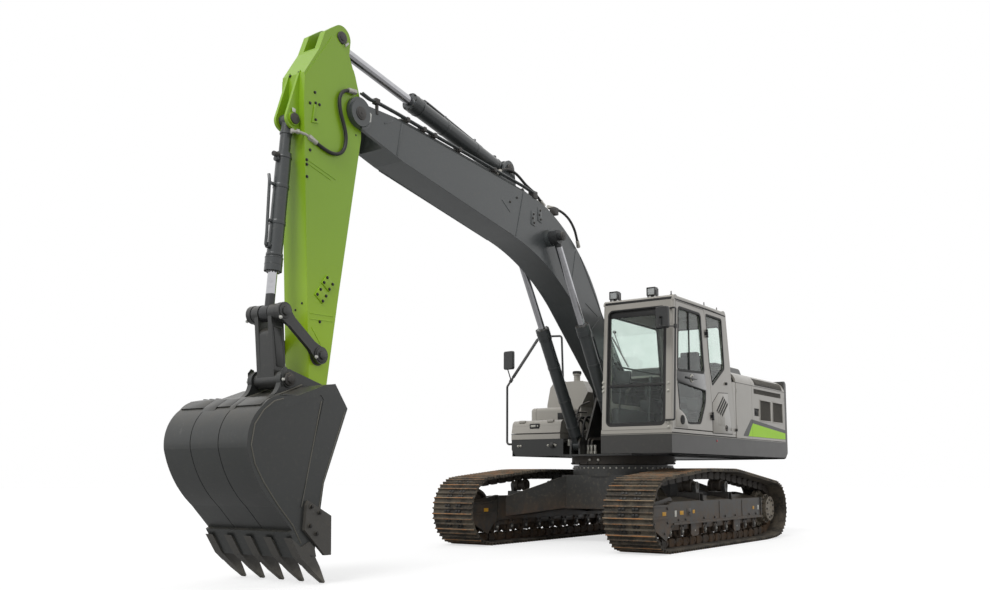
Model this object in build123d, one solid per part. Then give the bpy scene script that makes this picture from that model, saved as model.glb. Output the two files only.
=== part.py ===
from build123d import *
import os
from math import acos, asin, atan2, ceil, cos, degrees, hypot, pi, radians, sin

# Crawler excavator of the 22-tonne class, in millimetres.
# +X points forward, +Y to the operator's left and +Z up. The origin lies on the slew axis, at ground level.
os.makedirs("parts", exist_ok=True)

# ---------------------------------------------------------------- driving sizes
# Undercarriage
TRACK_GAUGE = 2390          # between the centre lines of the two tracks
SHOE_WIDTH = 600
SHOES = 49                  # shoes in one track
GROUSER = 26                # height of a grouser above its plate
RIBS = (                    # each grouser's share of the shoe's length: foot, tip, tip, foot, and its height's share
    (0.05, 0.09, 0.14, 0.18, 1.0), (0.40, 0.44, 0.49, 0.53, 1.0), (0.75, 0.79, 0.84, 0.88, 1.0))
SHOE_THICK = 26             # plate with its bolt seats
CHAIN_DEPTH = 84            # from the plate down to the links' rolling face
CHAIN_WIDTH = 190
IDLER_X, IDLER_RADIUS = 1750, 420          # radius over the grousers
SPROCKET_X, SPROCKET_RADIUS = -1700, 380
SPROCKET_RISE = 20          # lowest grouser on the sprocket, above ground
SPROCKET_TEETH = 21
CARRIER_X = (640, -250)
CARRIER_TOP = 940           # grouser tips over the carrier rollers
CARRIER_RADIUS = 75
ROLLER_RADIUS = 75
ROLLER_FIRST, ROLLER_PITCH, ROLLERS = 1430, 325, 9
RUN = 0.5                   # running gap at a bearing face
FRAME_IN, FRAME_OUT = TRACK_GAUGE / 2 - 185, TRACK_GAUGE / 2 + 205   # side walls of a track frame, from the centre plane
FRAME_BOTTOM, FRAME_TOP_OUT, FRAME_TOP_IN = 300, 558, 600
FRAME_FRONT, FRAME_REAR = 1452, -1290
YOKE_FRONT = 1560           # where the outer wall ends, beside the idler

# Slew ring
RING_OUT, RING_IN, RING_SPLIT = 680, 480, 590
RING_LOW, RING_HIGH = 985, 1100

# Upper structure
DECK_LOW, DECK_HIGH, DECK_PLATE = 1110, 1335, 25
SIDE = 1375                 # half width of the upper structure
SKIRT = 8
HOUSE_REAR = -2450
RIGHT_FRONT = 620
WEB_IN, WEB_THICK = 213, 26
TAIL_RADIUS = 2890
CW_FRONT, CW_LOW = HOUSE_REAR - 6, 1090
HOOD_TOP = 2230
PANEL = 28                  # thickness of a door or cover
SEAM = 6                    # gap between neighbouring panels

# Cab
CAB_RIGHT, CAB_LEFT = 449, SIDE
CAB_BASE, CAB_ROOF = 1340, 2960
CAB_FRONT_LOW, CAB_FRONT_HIGH = 1390, 1292  # front face at the base and at the roof rail
CAB_REAR_LOW, CAB_REAR_HIGH = -550, -280
ROOF_RAIL = 2890            # where the walls end and the roof begins
PILLAR = 66                 # depth of the front frame
WALL = 40
GLASS = 6

# Pins of the front end: x, z
BOOM_FOOT = (150, 1850)
BOOM_CYL_FOOT = (680, 1250)
BOOM_CYL_TOP = (2120, 3610)
ARM_CYL_FOOT = (2830, 4270)
BOOM_TIP = (5300, 4115)
ARM_TOP = (5500, 4770)
BUCKET_CYL_HEAD = (5990, 3872)
SIDE_LINK_PIN = (5710, 1860)
LINK_PIN = (6130, 2180)
BUCKET_LINK_PIN = (6080, 1625)
BUCKET_PIN = (5695, 1500)

BOOM_HALF, BOOM_WALL = 180, 12
ARM_HALF, ARM_WALL = 140, 12
PIN_RADIUS, PIN_PLAY = 45, 0.1
SIDE_PLAY = 5               # sideways gap between a piece and the fork that holds it
BOOM_CYL_Y = 285            # centre plane of each boom cylinder
BUCKET_HALF, BUCKET_SHEET = 494, 20
TEETH, TOOTH_SPREAD = 5, BUCKET_HALF - 31
JOINTS = (-165, 165)        # between the plates of the bucket's back
CUTTER_BOLTS = ((6108, 608), (6020, 560), (6118, 462), (6048, 398))


# ---------------------------------------------------------------- helpers
def save(node, *pieces):
    """Writes one node; its pieces stay separate solids."""
    solids = [solid for piece in pieces for solid in piece.solids()]
    export_step(solids[0] if len(solids) == 1 else Compound(children=solids), f"parts/{node}.step")


def block(x, y, z):
    """Box from three (low, high) ranges."""
    spans = [(min(pair), max(pair)) for pair in (x, y, z)]
    middle = [(low + high) / 2 for low, high in spans]
    return Pos(*middle) * Box(*[high - low for low, high in spans])


def outline(*steps):
    """Closed face in the X-Z plane. A step is a corner (x, z), or (via, end) for an arc."""
    edges, here = [], steps[0]
    for step in steps[1:] + (steps[0],):
        if isinstance(step[0], tuple):
            via, end = step
            edges.append(ThreePointArc((here[0], 0, here[1]), (via[0], 0, via[1]), (end[0], 0, end[1])))
            here = end
        elif hypot(step[0] - here[0], step[1] - here[1]) > 1e-6:
            edges.append(Line((here[0], 0, here[1]), (step[0], 0, step[1])))
            here = step
    return make_face(Wire(edges))


def slab(face, y0, y1):
    """An X-Z face made a plate from y0 to y1."""
    return Pos(0, min(y0, y1), 0) * extrude(face, abs(y1 - y0), dir=(0, 1, 0))


def bar(pin, radius, y0, y1):
    """Round bar along Y at an (x, z) place."""
    return Pos(pin[0], (y0 + y1) / 2, pin[1]) * Rot(90, 0, 0) * Cylinder(radius, abs(y1 - y0))


def post(x, y, radius, z0, z1):
    """Round bar along Z."""
    return Pos(x, y, (z0 + z1) / 2) * Cylinder(radius, z1 - z0)


def mirror_y(part):
    return mirror(part, about=Plane.XZ)


def both_sides(part):
    return [part, mirror_y(part)]


def belt(*rounds):
    """Face inside a tight belt round circles (x, z, radius), given anticlockwise in X-Z."""
    tangents = []
    for (x0, z0, r0), (x1, z1, r1) in zip(rounds, rounds[1:] + rounds[:1]):
        turn = atan2(z1 - z0, x1 - x0) - acos((r0 - r1) / hypot(x1 - x0, z1 - z0))
        tangents.append(turn)
    edges, count = [], len(rounds)
    for i, (x, z, r) in enumerate(rounds):
        start, end = tangents[i - 1], tangents[i]
        while end < start:
            end += 2 * pi
        at = lambda a: (x + r * cos(a), 0, z + r * sin(a))
        if r > 0 and end - start > 1e-6:
            edges.append(ThreePointArc(at(start), at((start + end) / 2), at(end)))
        x1, z1, r1 = rounds[(i + 1) % count]
        edges.append(Line(at(end), (x1 + r1 * cos(tangents[i]), 0, z1 + r1 * sin(tangents[i]))))
    return make_face(Wire(edges))


def belt_stations(rounds, count):
    """Evenly spaced places along such a belt, each (x, z)."""
    pieces = []
    tangents = [atan2(z1 - z0, x1 - x0) - acos((r0 - r1) / hypot(x1 - x0, z1 - z0))
                for (x0, z0, r0), (x1, z1, r1) in zip(rounds, rounds[1:] + rounds[:1])]
    for i, (x, z, r) in enumerate(rounds):
        start, end = tangents[i - 1], tangents[i]
        while end < start:
            end += 2 * pi
        pieces.append((r * (end - start), ("arc", x, z, r, start)))
        x1, z1, r1 = rounds[(i + 1) % len(rounds)]
        a = (x + r * cos(end), z + r * sin(end))
        b = (x1 + r1 * cos(end), z1 + r1 * sin(end))
        pieces.append((hypot(b[0] - a[0], b[1] - a[1]), ("line", a, b)))
    total = sum(length for length, _ in pieces)
    places = []
    for step in range(count):
        left = total * step / count
        for length, kind in pieces:
            if left > length:
                left -= length
                continue
            if kind[0] == "arc":
                _, x, z, r, start = kind
                places.append((x + r * cos(start + left / r), z + r * sin(start + left / r)))
            else:
                _, a, b = kind
                places.append((a[0] + (b[0] - a[0]) * left / length, a[1] + (b[1] - a[1]) * left / length))
            break
    return places


def tube(points, radius, bend):
    """Round bar along a bent line of 3-D points, with one bend radius."""
    line = FilletPolyline(*points, radius=bend) if len(points) > 2 else Line(*points)
    start = Plane(origin=points[0], z_dir=Vector(*points[1]) - Vector(*points[0]))
    return sweep(start * Circle(radius), path=line)


# ---------------------------------------------------------------- undercarriage
TRACK_Y = TRACK_GAUGE / 2
PLATE_LINE = GROUSER                                     # height of the plates' outer face on the ground run
track_rounds = (                                         # centre x, centre z, radius to the plates' face
    (IDLER_X, IDLER_RADIUS, IDLER_RADIUS - GROUSER),
    (CARRIER_X[0], CARRIER_TOP - GROUSER - 185, 185),
    (CARRIER_X[1], CARRIER_TOP - GROUSER - 185, 185),
    (SPROCKET_X, SPROCKET_RADIUS + SPROCKET_RISE, SPROCKET_RADIUS - GROUSER),
    (ROLLER_FIRST - (ROLLERS - 1) * ROLLER_PITCH - 150, GROUSER + 200, 200),
)


def inner_belt(depth):
    return belt(*[(x, z, r - depth) for x, z, r in track_rounds])


def track():
    """One loop: the shoes' outline with a grouser each, and the chain inside it."""
    places = belt_stations(track_rounds, SHOES)
    corners = []
    for (x0, z0), (x1, z1) in zip(places, places[1:] + places[:1]):
        length = hypot(x1 - x0, z1 - z0)
        along = ((x1 - x0) / length, (z1 - z0) / length)
        out = (along[1], -along[0])
        steps = [(0, 0)]
        for foot, tip, tip_end, foot_end, height in RIBS:
            steps += [(foot, 0), (tip, height), (tip_end, height), (foot_end, 0)]
        for share, height in steps:
            corners.append((x0 + along[0] * share * length + out[0] * height * GROUSER,
                            z0 + along[1] * share * length + out[1] * height * GROUSER))
    shoes = slab(outline(*corners), -SHOE_WIDTH / 2, SHOE_WIDTH / 2)
    shoes -= slab(inner_belt(SHOE_THICK), -SHOE_WIDTH, SHOE_WIDTH)
    chain = slab(inner_belt(SHOE_THICK - 1), -CHAIN_WIDTH / 2, CHAIN_WIDTH / 2)
    chain -= slab(inner_belt(SHOE_THICK + CHAIN_DEPTH), -CHAIN_WIDTH, CHAIN_WIDTH)
    return shoes + chain


TREAD = SHOE_THICK + CHAIN_DEPTH                         # from the plates' face to the rolling face
one_track = track()
save("track_left", Pos(0, TRACK_Y, 0) * one_track)
save("track_right", Pos(0, -TRACK_Y, 0) * one_track)

# Idlers: a wheel with a raised rim between the links, on a fixed axle
idler_tread = IDLER_RADIUS - GROUSER - TREAD - RUN
idler_place = (IDLER_X, IDLER_RADIUS)
AXLE_HALF = 150
idler_half = Plane.YZ * make_face(Polyline(
    (0, 0), (AXLE_HALF, 0), (AXLE_HALF, 45), (95, 45), (95, 92), (30, 110), (30, idler_tread - 60),
    (78, idler_tread - 48), (78, idler_tread - 16), (44, idler_tread - 16), (44, idler_tread), (0, idler_tread), (0, 0)))
idler = revolve(idler_half, Axis.Y)
idler = Pos(IDLER_X, 0, IDLER_RADIUS) * (idler + mirror_y(idler))
save("idlers", Pos(0, TRACK_Y, 0) * idler, Pos(0, -TRACK_Y, 0) * idler)

# Sprockets: a toothed ring on the hub of the travel motor
sprocket_place = (SPROCKET_X, SPROCKET_RADIUS + SPROCKET_RISE)
sprocket_tip = SPROCKET_RADIUS - GROUSER - TREAD - RUN
tooth_points = []
for tooth in range(SPROCKET_TEETH):
    for share, drop in ((-0.16, 0), (0.16, 0), (0.34, 26), (0.66, 26)):
        angle = 2 * pi * (tooth + share) / SPROCKET_TEETH
        tooth_points.append((sprocket_place[0] + (sprocket_tip - drop) * cos(angle),
                             sprocket_place[1] + (sprocket_tip - drop) * sin(angle)))
MOTOR_IN = FRAME_IN - TRACK_Y + 10
sprocket = slab(outline(*tooth_points), -32, 32)
sprocket += bar(sprocket_place, 195, 32, 130) + bar(sprocket_place, 165, 130, 185)
sprocket += bar(sprocket_place, 160, MOTOR_IN, -32)
save("sprockets", Pos(0, TRACK_Y, 0) * sprocket, mirror_y(Pos(0, TRACK_Y, 0) * sprocket))

# Bottom and carrier rollers
roller_x = [ROLLER_FIRST - i * ROLLER_PITCH for i in range(ROLLERS)]
roller_z = GROUSER + TREAD + ROLLER_RADIUS + RUN
ROLLER_AXLE = 150
roller_half = Plane.YZ * make_face(Polyline(
    (0, 0), (ROLLER_AXLE, 0), (ROLLER_AXLE, 40), (100, 40), (100, 62), (92, ROLLER_RADIUS - 6), (CHAIN_WIDTH / 2 - 7, ROLLER_RADIUS),
    (34, ROLLER_RADIUS), (28, 58), (0, 58), (0, 0)))
roller = revolve(roller_half, Axis.Y)
roller = Pos(0, 0, roller_z) * (roller + mirror_y(roller))
rollers = [Pos(x, side * TRACK_Y, 0) * roller for x in roller_x for side in (1, -1)]

carrier_z = CARRIER_TOP - GROUSER - TREAD - CARRIER_RADIUS - RUN
carrier = Pos(0, 0, carrier_z) * revolve(Plane.YZ * make_face(Polyline(
    (-82, 0), (140, 0), (140, 35), (88, 35), (88, 58), (80, CARRIER_RADIUS), (30, CARRIER_RADIUS), (24, 60), (-24, 60),
    (-30, CARRIER_RADIUS), (-80, CARRIER_RADIUS), (-82, 0))), Axis.Y)
rollers += [Pos(x, 0, 0) * piece for x in CARRIER_X for piece in both_sides(Pos(0, TRACK_Y, 0) * carrier)]
save("track_rollers", *rollers)


def track_frame():
    """Left frame: a box beam with a sloped top, an idler yoke in front and the motor's ring behind."""
    section = Plane.YZ * make_face(Polyline(
        (FRAME_IN, FRAME_BOTTOM), (FRAME_OUT, FRAME_BOTTOM), (FRAME_OUT, FRAME_TOP_OUT),
        (FRAME_OUT - 250, FRAME_TOP_IN), (FRAME_IN, FRAME_TOP_IN), (FRAME_IN, FRAME_BOTTOM)))
    beam = Pos(FRAME_REAR, 0, 0) * extrude(section, FRAME_FRONT - FRAME_REAR, dir=(1, 0, 0))
    # cheeks that carry the roller axles, and guards between some of them
    for side in (-1, 1):
        y = TRACK_Y + side * (ROLLER_AXLE - 14)
        for x in roller_x:
            beam += block((x - 55, x + 55), (y - 14, y + 14), (roller_z - 45, FRAME_BOTTOM + 10))
    for x in roller_x:
        beam -= bar((x, roller_z), 40 + RUN, 0, 3000)
    for x in GUARD_X:
        beam += slab(outline((x - 85, 150), (x + 85, 150), (x + 110, 180), (x + 110, FRAME_BOTTOM + 10),
                             (x - 110, FRAME_BOTTOM + 10), (x - 110, 180)),
                     TRACK_Y + ROLLER_AXLE + 4, TRACK_Y + ROLLER_AXLE + 20)
    # yoke: the outer wall runs on beside the idler, and two cheeks hold its axle
    beam += slab(outline((FRAME_FRONT - 10, FRAME_BOTTOM), (YOKE_FRONT, FRAME_BOTTOM), (YOKE_FRONT, FRAME_TOP_OUT - 15),
                         (FRAME_FRONT - 10, FRAME_TOP_OUT)), FRAME_OUT - 70, FRAME_OUT)
    for side in (-1, 1):
        y = TRACK_Y + side * (AXLE_HALF - 20)
        beam += slab(belt((FRAME_FRONT - 40, 380, 50), (1930, 350, 60), (1930, 480, 60), (FRAME_FRONT - 40, 560, 50)),
                     y - 20, y + 20)
    # flange along the foot of the outer wall, and the rim round the rear end
    beam += block((FRAME_REAR, FRAME_FRONT), (FRAME_OUT - 20, FRAME_OUT + 14), (FRAME_BOTTOM, FRAME_BOTTOM + 22))
    beam += block((FRAME_REAR, FRAME_REAR + 22), (FRAME_OUT - 20, FRAME_OUT + 14), (FRAME_BOTTOM, FRAME_TOP_OUT + 8))
    # outer cover of the yoke, with the tie-down hole
    beam += slab(outline((YOKE_FRONT - 20, FRAME_TOP_OUT - 15), (1590, 530), (2015, 530), (2015, 370),
                         (1960, 270), (1660, 130), (YOKE_FRONT - 20, 250)), FRAME_OUT - 12, FRAME_OUT + 12)
    for z in COVER_RIBS:
        beam += block((1585, 2015), (FRAME_OUT, FRAME_OUT + 24), (z, z + 22))
    beam += block((1860, 1900), (TRACK_Y + AXLE_HALF - 10, FRAME_OUT), (400, 450))
    beam -= bar(idler_place, 45 + RUN, 0, TRACK_Y + AXLE_HALF + 5)
    beam -= bar(TIE_PLACE, TIE_HOLE, FRAME_OUT - 60, FRAME_OUT + 60)
    # ring that holds the travel motor
    beam += slab(belt((FRAME_REAR + 40, 350, 45), (FRAME_REAR + 40, 590, 45), (SPROCKET_X, sprocket_place[1], 190)),
                 FRAME_IN, FRAME_IN + 60)
    beam -= bar(sprocket_place, 160 + RUN, FRAME_IN + 8, FRAME_IN + 200)
    # square tubes across the top, each with the clamp of a carrier roller
    for x in CARRIER_X:
        beam += block((x - TUBE / 2, x + TUBE / 2), (FRAME_IN + 90, TUBE_END), (TUBE_TOP - TUBE, TUBE_TOP))
        beam -= block((x - TUBE / 2 + TUBE_WALL, x + TUBE / 2 - TUBE_WALL), (FRAME_OUT - 110, 3000),
                      (TUBE_TOP - TUBE + TUBE_WALL, TUBE_TOP - TUBE_WALL))
        beam += slab(belt((x - 30, TUBE_TOP, 8), (x + 30, TUBE_TOP, 8), (x, carrier_z, 52)),
                     TRACK_Y + 100, TRACK_Y + 145)
        beam -= bar((x, carrier_z), 35 + RUN, TRACK_Y + 90, TRACK_Y + 160)
    return beam


TUBE, TUBE_WALL, TUBE_END, TUBE_TOP = 106, 9, FRAME_OUT - 15, 648
GUARD_X = (785, -515)       # guards beside the bottom rollers
TIE_PLACE = (1975, 452)
TIE_HOLE = 22
COVER_RIBS = (375, 508)     # lower edges of the ribs on the idler's cover
left_frame = track_frame()
save("track_frame_left", left_frame)
save("track_frame_right", mirror_y(left_frame))

# Car body: a round pedestal on a box, with four legs out to the track frames
BODY_X, BODY_Y, BODY_LOW, BODY_HIGH = 640, 560, 430, 860
car_body = block((-BODY_X, BODY_X), (-BODY_Y, BODY_Y), (BODY_LOW, BODY_HIGH))
car_body += Pos(0, 0, (BODY_HIGH + RING_LOW) / 2) * Cylinder(RING_OUT - 20, RING_LOW - BODY_HIGH + 40)
car_body -= post(0, 0, RING_IN - 60, BODY_LOW + 60, RING_LOW + 100)
car_body = car_body & block((-3000, 3000), (-3000, 3000), (0, RING_LOW))
LEG_ROOT, LEG_END = (170, BODY_X), (760, 1280)           # x ranges at the body and at the track frame
for front in (1, -1):
    for left in (1, -1):
        sections = []
        for (xa, xb), y, (za, zb) in ((LEG_ROOT, BODY_Y - 60, (BODY_LOW + 10, BODY_HIGH - 10)),
                                      (LEG_END, FRAME_IN - RUN, (FRAME_BOTTOM + 40, FRAME_TOP_IN - 20))):
            corners = [(front * xa, left * y, za), (front * xb, left * y, za),
                       (front * xb, left * y, zb), (front * xa, left * y, zb)]
            sections.append(make_face(Polyline(*corners, corners[0])))
        car_body += loft(sections)
save("car_body", car_body)

# Slew ring: the inner race stands on the car body, the outer race turns with the upper structure
inner_race = post(0, 0, RING_SPLIT - 5, RING_LOW, RING_HIGH - 30) - post(0, 0, RING_IN, RING_LOW, RING_HIGH)
save("slew_ring_inner", inner_race)
outer_race = post(0, 0, RING_OUT, RING_LOW + 12, RING_HIGH) - post(0, 0, RING_SPLIT, 0, RING_HIGH - 30 + RUN)
outer_race -= post(0, 0, RING_IN + 40, 0, RING_HIGH + 10)
save("slew_ring_outer", outer_race)

# ---------------------------------------------------------------- revolving frame
def web(y0, y1):
    """Upright plate that carries the boom foot and the boom cylinder."""
    plate = slab(outline((HOUSE_REAR, RING_HIGH + 5), (HOUSE_REAR, DECK_HIGH - 15), (-1300, DECK_HIGH - 15), (30, 1930),
                         (290, 1900), (590, 1310), (755, 1250), (760, RING_HIGH + 5)), y0, y1)
    plate += bar(BOOM_FOOT, 150, y0, y1) + bar(BOOM_CYL_FOOT, 92, y0, y1)
    return plate


frame = block((HOUSE_REAR, 790), (-545, 545), (RING_HIGH + 0.5, RING_HIGH + 22))
for side in (1, -1):
    frame += web(side * WEB_IN, side * (WEB_IN + WEB_THICK))
    clevis = slab(belt((560, RING_HIGH + 12, 10), (770, RING_HIGH + 12, 10), (*BOOM_CYL_FOOT, 92)),
                  side * (BOOM_CYL_Y + 47), side * (BOOM_CYL_Y + 73))
    frame += clevis
for side in (1, -1):                                     # pads that the counterweight hangs on
    frame += block((CW_FRONT + 0.3, HOUSE_REAR + 100), (side * 300, side * 700), (DECK_HIGH - 150, DECK_HIGH))
for x in (-2200, -1300, -420):                           # cross members out to the skirts
    frame += block((x - 60, x + 60), (-SIDE + 40, SIDE - 40), (RING_HIGH + 12, DECK_HIGH - DECK_PLATE))
frame += block((430, 560), (WEB_IN, SIDE - 40), (RING_HIGH + 12, DECK_HIGH - DECK_PLATE))
frame += block((HOUSE_REAR, CAB_FRONT_LOW - SKIRT - 0.3), (CAB_RIGHT, SIDE - SKIRT - 0.3), (DECK_HIGH - DECK_PLATE, DECK_HIGH))
frame += block((HOUSE_REAR, -560), (WEB_IN, CAB_RIGHT + 10), (DECK_HIGH - DECK_PLATE, DECK_HIGH))
frame += block((HOUSE_REAR, RIGHT_FRONT - SKIRT - 0.3), (-SIDE + SKIRT + 0.3, -WEB_IN - 330), (DECK_HIGH - DECK_PLATE, DECK_HIGH))
frame += block((HOUSE_REAR, -560), (-WEB_IN, -WEB_IN - 340), (DECK_HIGH - DECK_PLATE, DECK_HIGH))
frame -= bar(BOOM_CYL_FOOT, PIN_RADIUS, -700, 700)
frame -= bar(BOOM_FOOT, PIN_RADIUS + 10, -700, 700)
save("revolving_frame", frame)

boom_foot_pin = bar(BOOM_FOOT, PIN_RADIUS + 10 - PIN_PLAY, -WEB_IN - WEB_THICK - 12, WEB_IN + WEB_THICK + 12)
cylinder_pins = [bar(BOOM_CYL_FOOT, PIN_RADIUS - PIN_PLAY, side * WEB_IN, side * (BOOM_CYL_Y + 85)) for side in (1, -1)]
save("boom_foot_pins", boom_foot_pin, *cylinder_pins)

# Skirts round the deck edge
skirt_left = block((HOUSE_REAR, CAB_FRONT_LOW), (SIDE - SKIRT, SIDE), (DECK_LOW, DECK_HIGH))
skirt_left += block((CAB_FRONT_LOW - SKIRT, CAB_FRONT_LOW), (CAB_RIGHT, SIDE), (DECK_LOW, DECK_HIGH))
skirt_right = block((HOUSE_REAR, RIGHT_FRONT), (-SIDE, -SIDE + SKIRT), (DECK_LOW, DECK_HIGH))
skirt_right += block((RIGHT_FRONT - SKIRT, RIGHT_FRONT), (-SIDE, -WEB_IN - 340), (DECK_LOW, DECK_HIGH))
skirt_corner = Plane.YZ * make_face(Polyline((-1, -1), (70, -1), (-1, 90), (-1, -1)))
skirt_right -= Pos(RIGHT_FRONT, -SIDE, DECK_LOW) * extrude(skirt_corner, 2 * SKIRT, both=True)
save("side_skirts", skirt_left, skirt_right)

# Counterweight: a cast block whose back follows the tail circle
counterweight = post(0, 0, TAIL_RADIUS, CW_LOW, HOOD_TOP) & block((-3000, CW_FRONT), (-SIDE + 5, SIDE - 5), (0, 3000))
counterweight = chamfer(counterweight.edges().filter_by(GeomType.CIRCLE).group_by(Axis.Z)[0], 90)
rear_top = counterweight.edges().filter_by(GeomType.CIRCLE).group_by(Axis.Z)[-1]
counterweight = fillet(rear_top, 60)
save("counterweight", counterweight)

# Engine, a plain block on the frame behind the slew ring
save("engine", block((-2280, -1440), (-560, 480), (DECK_HIGH + 0.3, 1960)))

# ---------------------------------------------------------------- house panels
SHOULDER = SIDE - 185       # half width of the flat top between the doors
DOOR_TOP = HOOD_TOP - 162   # seam between a door and the fixed shoulder above it


def moulding(x0, x1, z0, z1):
    """Left side panel between two heights: a flat side that turns over the shoulder."""
    turn, crown, inside = HOOD_TOP - 190, HOOD_TOP - 8, SHOULDER - 1
    outer = Plane.YZ * make_face(Wire([
        Line((SIDE, DECK_LOW), (SIDE, turn)), ThreePointArc((SIDE, turn), (SIDE - 42, HOOD_TOP - 64), (SIDE - 145, crown)),
        Line((SIDE - 145, crown), (inside, HOOD_TOP)), Line((inside, HOOD_TOP), (inside, HOOD_TOP - PANEL)),
        Line((inside, HOOD_TOP - PANEL), (SIDE - 153, crown - PANEL)),
        ThreePointArc((SIDE - 153, crown - PANEL), (SIDE - 62, HOOD_TOP - 84), (SIDE - PANEL, turn)),
        Line((SIDE - PANEL, turn), (SIDE - PANEL, DECK_LOW)), Line((SIDE - PANEL, DECK_LOW), (SIDE, DECK_LOW))]))
    return Pos(x0, 0, 0) * extrude(outer, x1 - x0, dir=(1, 0, 0)) & block((x0, x1), (0, SIDE), (z0, z1))


def side_door(x0, x1):
    return moulding(x0, x1, DECK_HIGH + SEAM, DOOR_TOP - SEAM / 2)


def shoulder(x0, x1):
    return moulding(x0, x1, DOOR_TOP + SEAM / 2, HOOD_TOP)


COVER_REAR = -1135          # seam between the two left doors
COVER_FRONT = -568
PUMP_FRONT = -1300
HINGE_IN, HINGE_AXIS = 10, SIDE - 10                     # hinge line from a door's edge, and from the centre plane
HINGE_Z = (1480, 1960)
HINGE_PIN = 6


def hang(door, edge, way):
    """Notches in a left door's edge, with holes above and below each for its pin. way: 1 for a front edge, -1 for a rear one."""
    x = edge - way * HINGE_IN
    for z in HINGE_Z:
        door -= block((x - way * 18, edge + way), (SIDE - PANEL - 1, SIDE + 1), (z - 22, z + 22))
        door -= post(x, HINGE_AXIS, HINGE_PIN + PIN_PLAY, z - 50, z + 50)
    return door


def tongues(edge, way):
    """What reaches into those notches from the post behind, with the pins."""
    x = edge - way * HINGE_IN
    arms = block((x - 10, x + 10), (SHOULDER - 22, SHOULDER), (DECK_HIGH + 0.3, HOOD_TOP - PANEL + 1))
    for z in HINGE_Z:
        arms += block((x - 10, x + 10), (SHOULDER - 5, HINGE_AXIS + 10), (z - 17, z + 17))
        arms += post(x, HINGE_AXIS, HINGE_PIN, z - 45, z + 45)
    return arms


HOUSE_END = HOUSE_REAR + SEAM / 2
left_front_door = hang(side_door(COVER_REAR + SEAM / 2, COVER_FRONT), COVER_FRONT, 1)
save("left_front_door", left_front_door)

left_rear_door = hang(side_door(HOUSE_END, COVER_REAR - SEAM / 2), HOUSE_END, -1)
GRILLES = (                 # x0, x1, z0, z1 of each mesh opening
    (-1400, -1220, 1660, 1765), (-1850, -1440, 1612, 1885), (-2345, -1945, 1612, 1885), (-2290, -1210, 1965, 2030))
for x0, x1, z0, z1 in GRILLES:
    left_rear_door -= block((x0, x1), (SIDE - PANEL / 2, SIDE + 10), (z0, z1))
save("left_rear_door", left_rear_door)

pump_door = hang(side_door(HOUSE_END, PUMP_FRONT - SEAM / 2), HOUSE_END, -1)
save("pump_door", mirror_y(pump_door))

def lid_hinge(x, z, y, way, foot):
    """One hinge of a lid: fixed ears with their pin, and the lid's knuckle. way: the lid's side. foot: under the ears."""
    fixed = bar((x, z), HINGE_PIN, y - 45, y + 45)
    for s in (1, -1):
        fixed += slab(belt((foot[0] - 1, foot[1], 4), (foot[0] + 1, foot[1], 4), (x, z, 10)), y + s * 32, y + s * 45)
    knuckle = bar((x, z), 11, y - 27, y + 27) + block((x, x + way * 45), (y - 27, y + 27), (z - 16.5, z - 6))
    return fixed, knuckle - bar((x, z), HINGE_PIN + PIN_PLAY, y - 60, y + 60)


# Fixed deck over the engine bay, open under the hood
HOOD_X, HOOD_Y = (-2370, -1400), (-660, 800)
HOOD_HINGE = (HOOD_X[1] + 18, HOOD_TOP + 24)
hood_deck = block((HOUSE_REAR, COVER_FRONT), (-SHOULDER, SHOULDER), (HOOD_TOP - PANEL, HOOD_TOP))
hood_deck -= block((HOOD_X[0] + 40, HOOD_X[1] - 40), (HOOD_Y[0] + 40, HOOD_Y[1] - 40), (0, 3000))
hood_deck -= block((PUMP_FRONT, 0), (-2000, -WEB_IN - 330), (0, 3000))
hood_deck += block((COVER_FRONT - 40, COVER_FRONT), (CAB_RIGHT, SHOULDER), (DECK_HIGH + 0.3, HOOD_TOP - PANEL + 1))
hood_deck += shoulder(COVER_REAR + SEAM / 2, COVER_FRONT) + shoulder(HOUSE_END, COVER_REAR - SEAM / 2)
hood_deck += mirror_y(shoulder(HOUSE_END, PUMP_FRONT - SEAM / 2))
hood_deck += tongues(COVER_FRONT, 1) + tongues(HOUSE_END, -1) + mirror_y(tongues(HOUSE_END, -1))
LATCH_Z = (1500, 2000)      # rubber stops that the closed doors rest on
for x, side in ((COVER_REAR + 25, 1), (COVER_REAR - 25, 1), (PUMP_FRONT - 30, -1)):
    hood_deck += block((x - 15, x + 15), (side * (SHOULDER - 22), side * SHOULDER), (DECK_HIGH + 0.3, HOOD_TOP - PANEL + 1))
    for z in LATCH_Z:
        hood_deck += block((x - 15, x + 15), (side * (SHOULDER - 22), side * (SIDE - PANEL - 0.3)), (z - 20, z + 20))
hood_hinges = [lid_hinge(*HOOD_HINGE, y, -1, (HOOD_HINGE[0], HOOD_TOP)) for y in (-480, 620)]
for fixed, _ in hood_hinges:
    hood_deck += fixed
hood_deck += block((HOOD_X[1] - 10, HOOD_X[1] + 40), (HOOD_Y[0], HOOD_Y[1]), (HOOD_TOP - PANEL, HOOD_TOP))
save("hood_deck", hood_deck)

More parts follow.
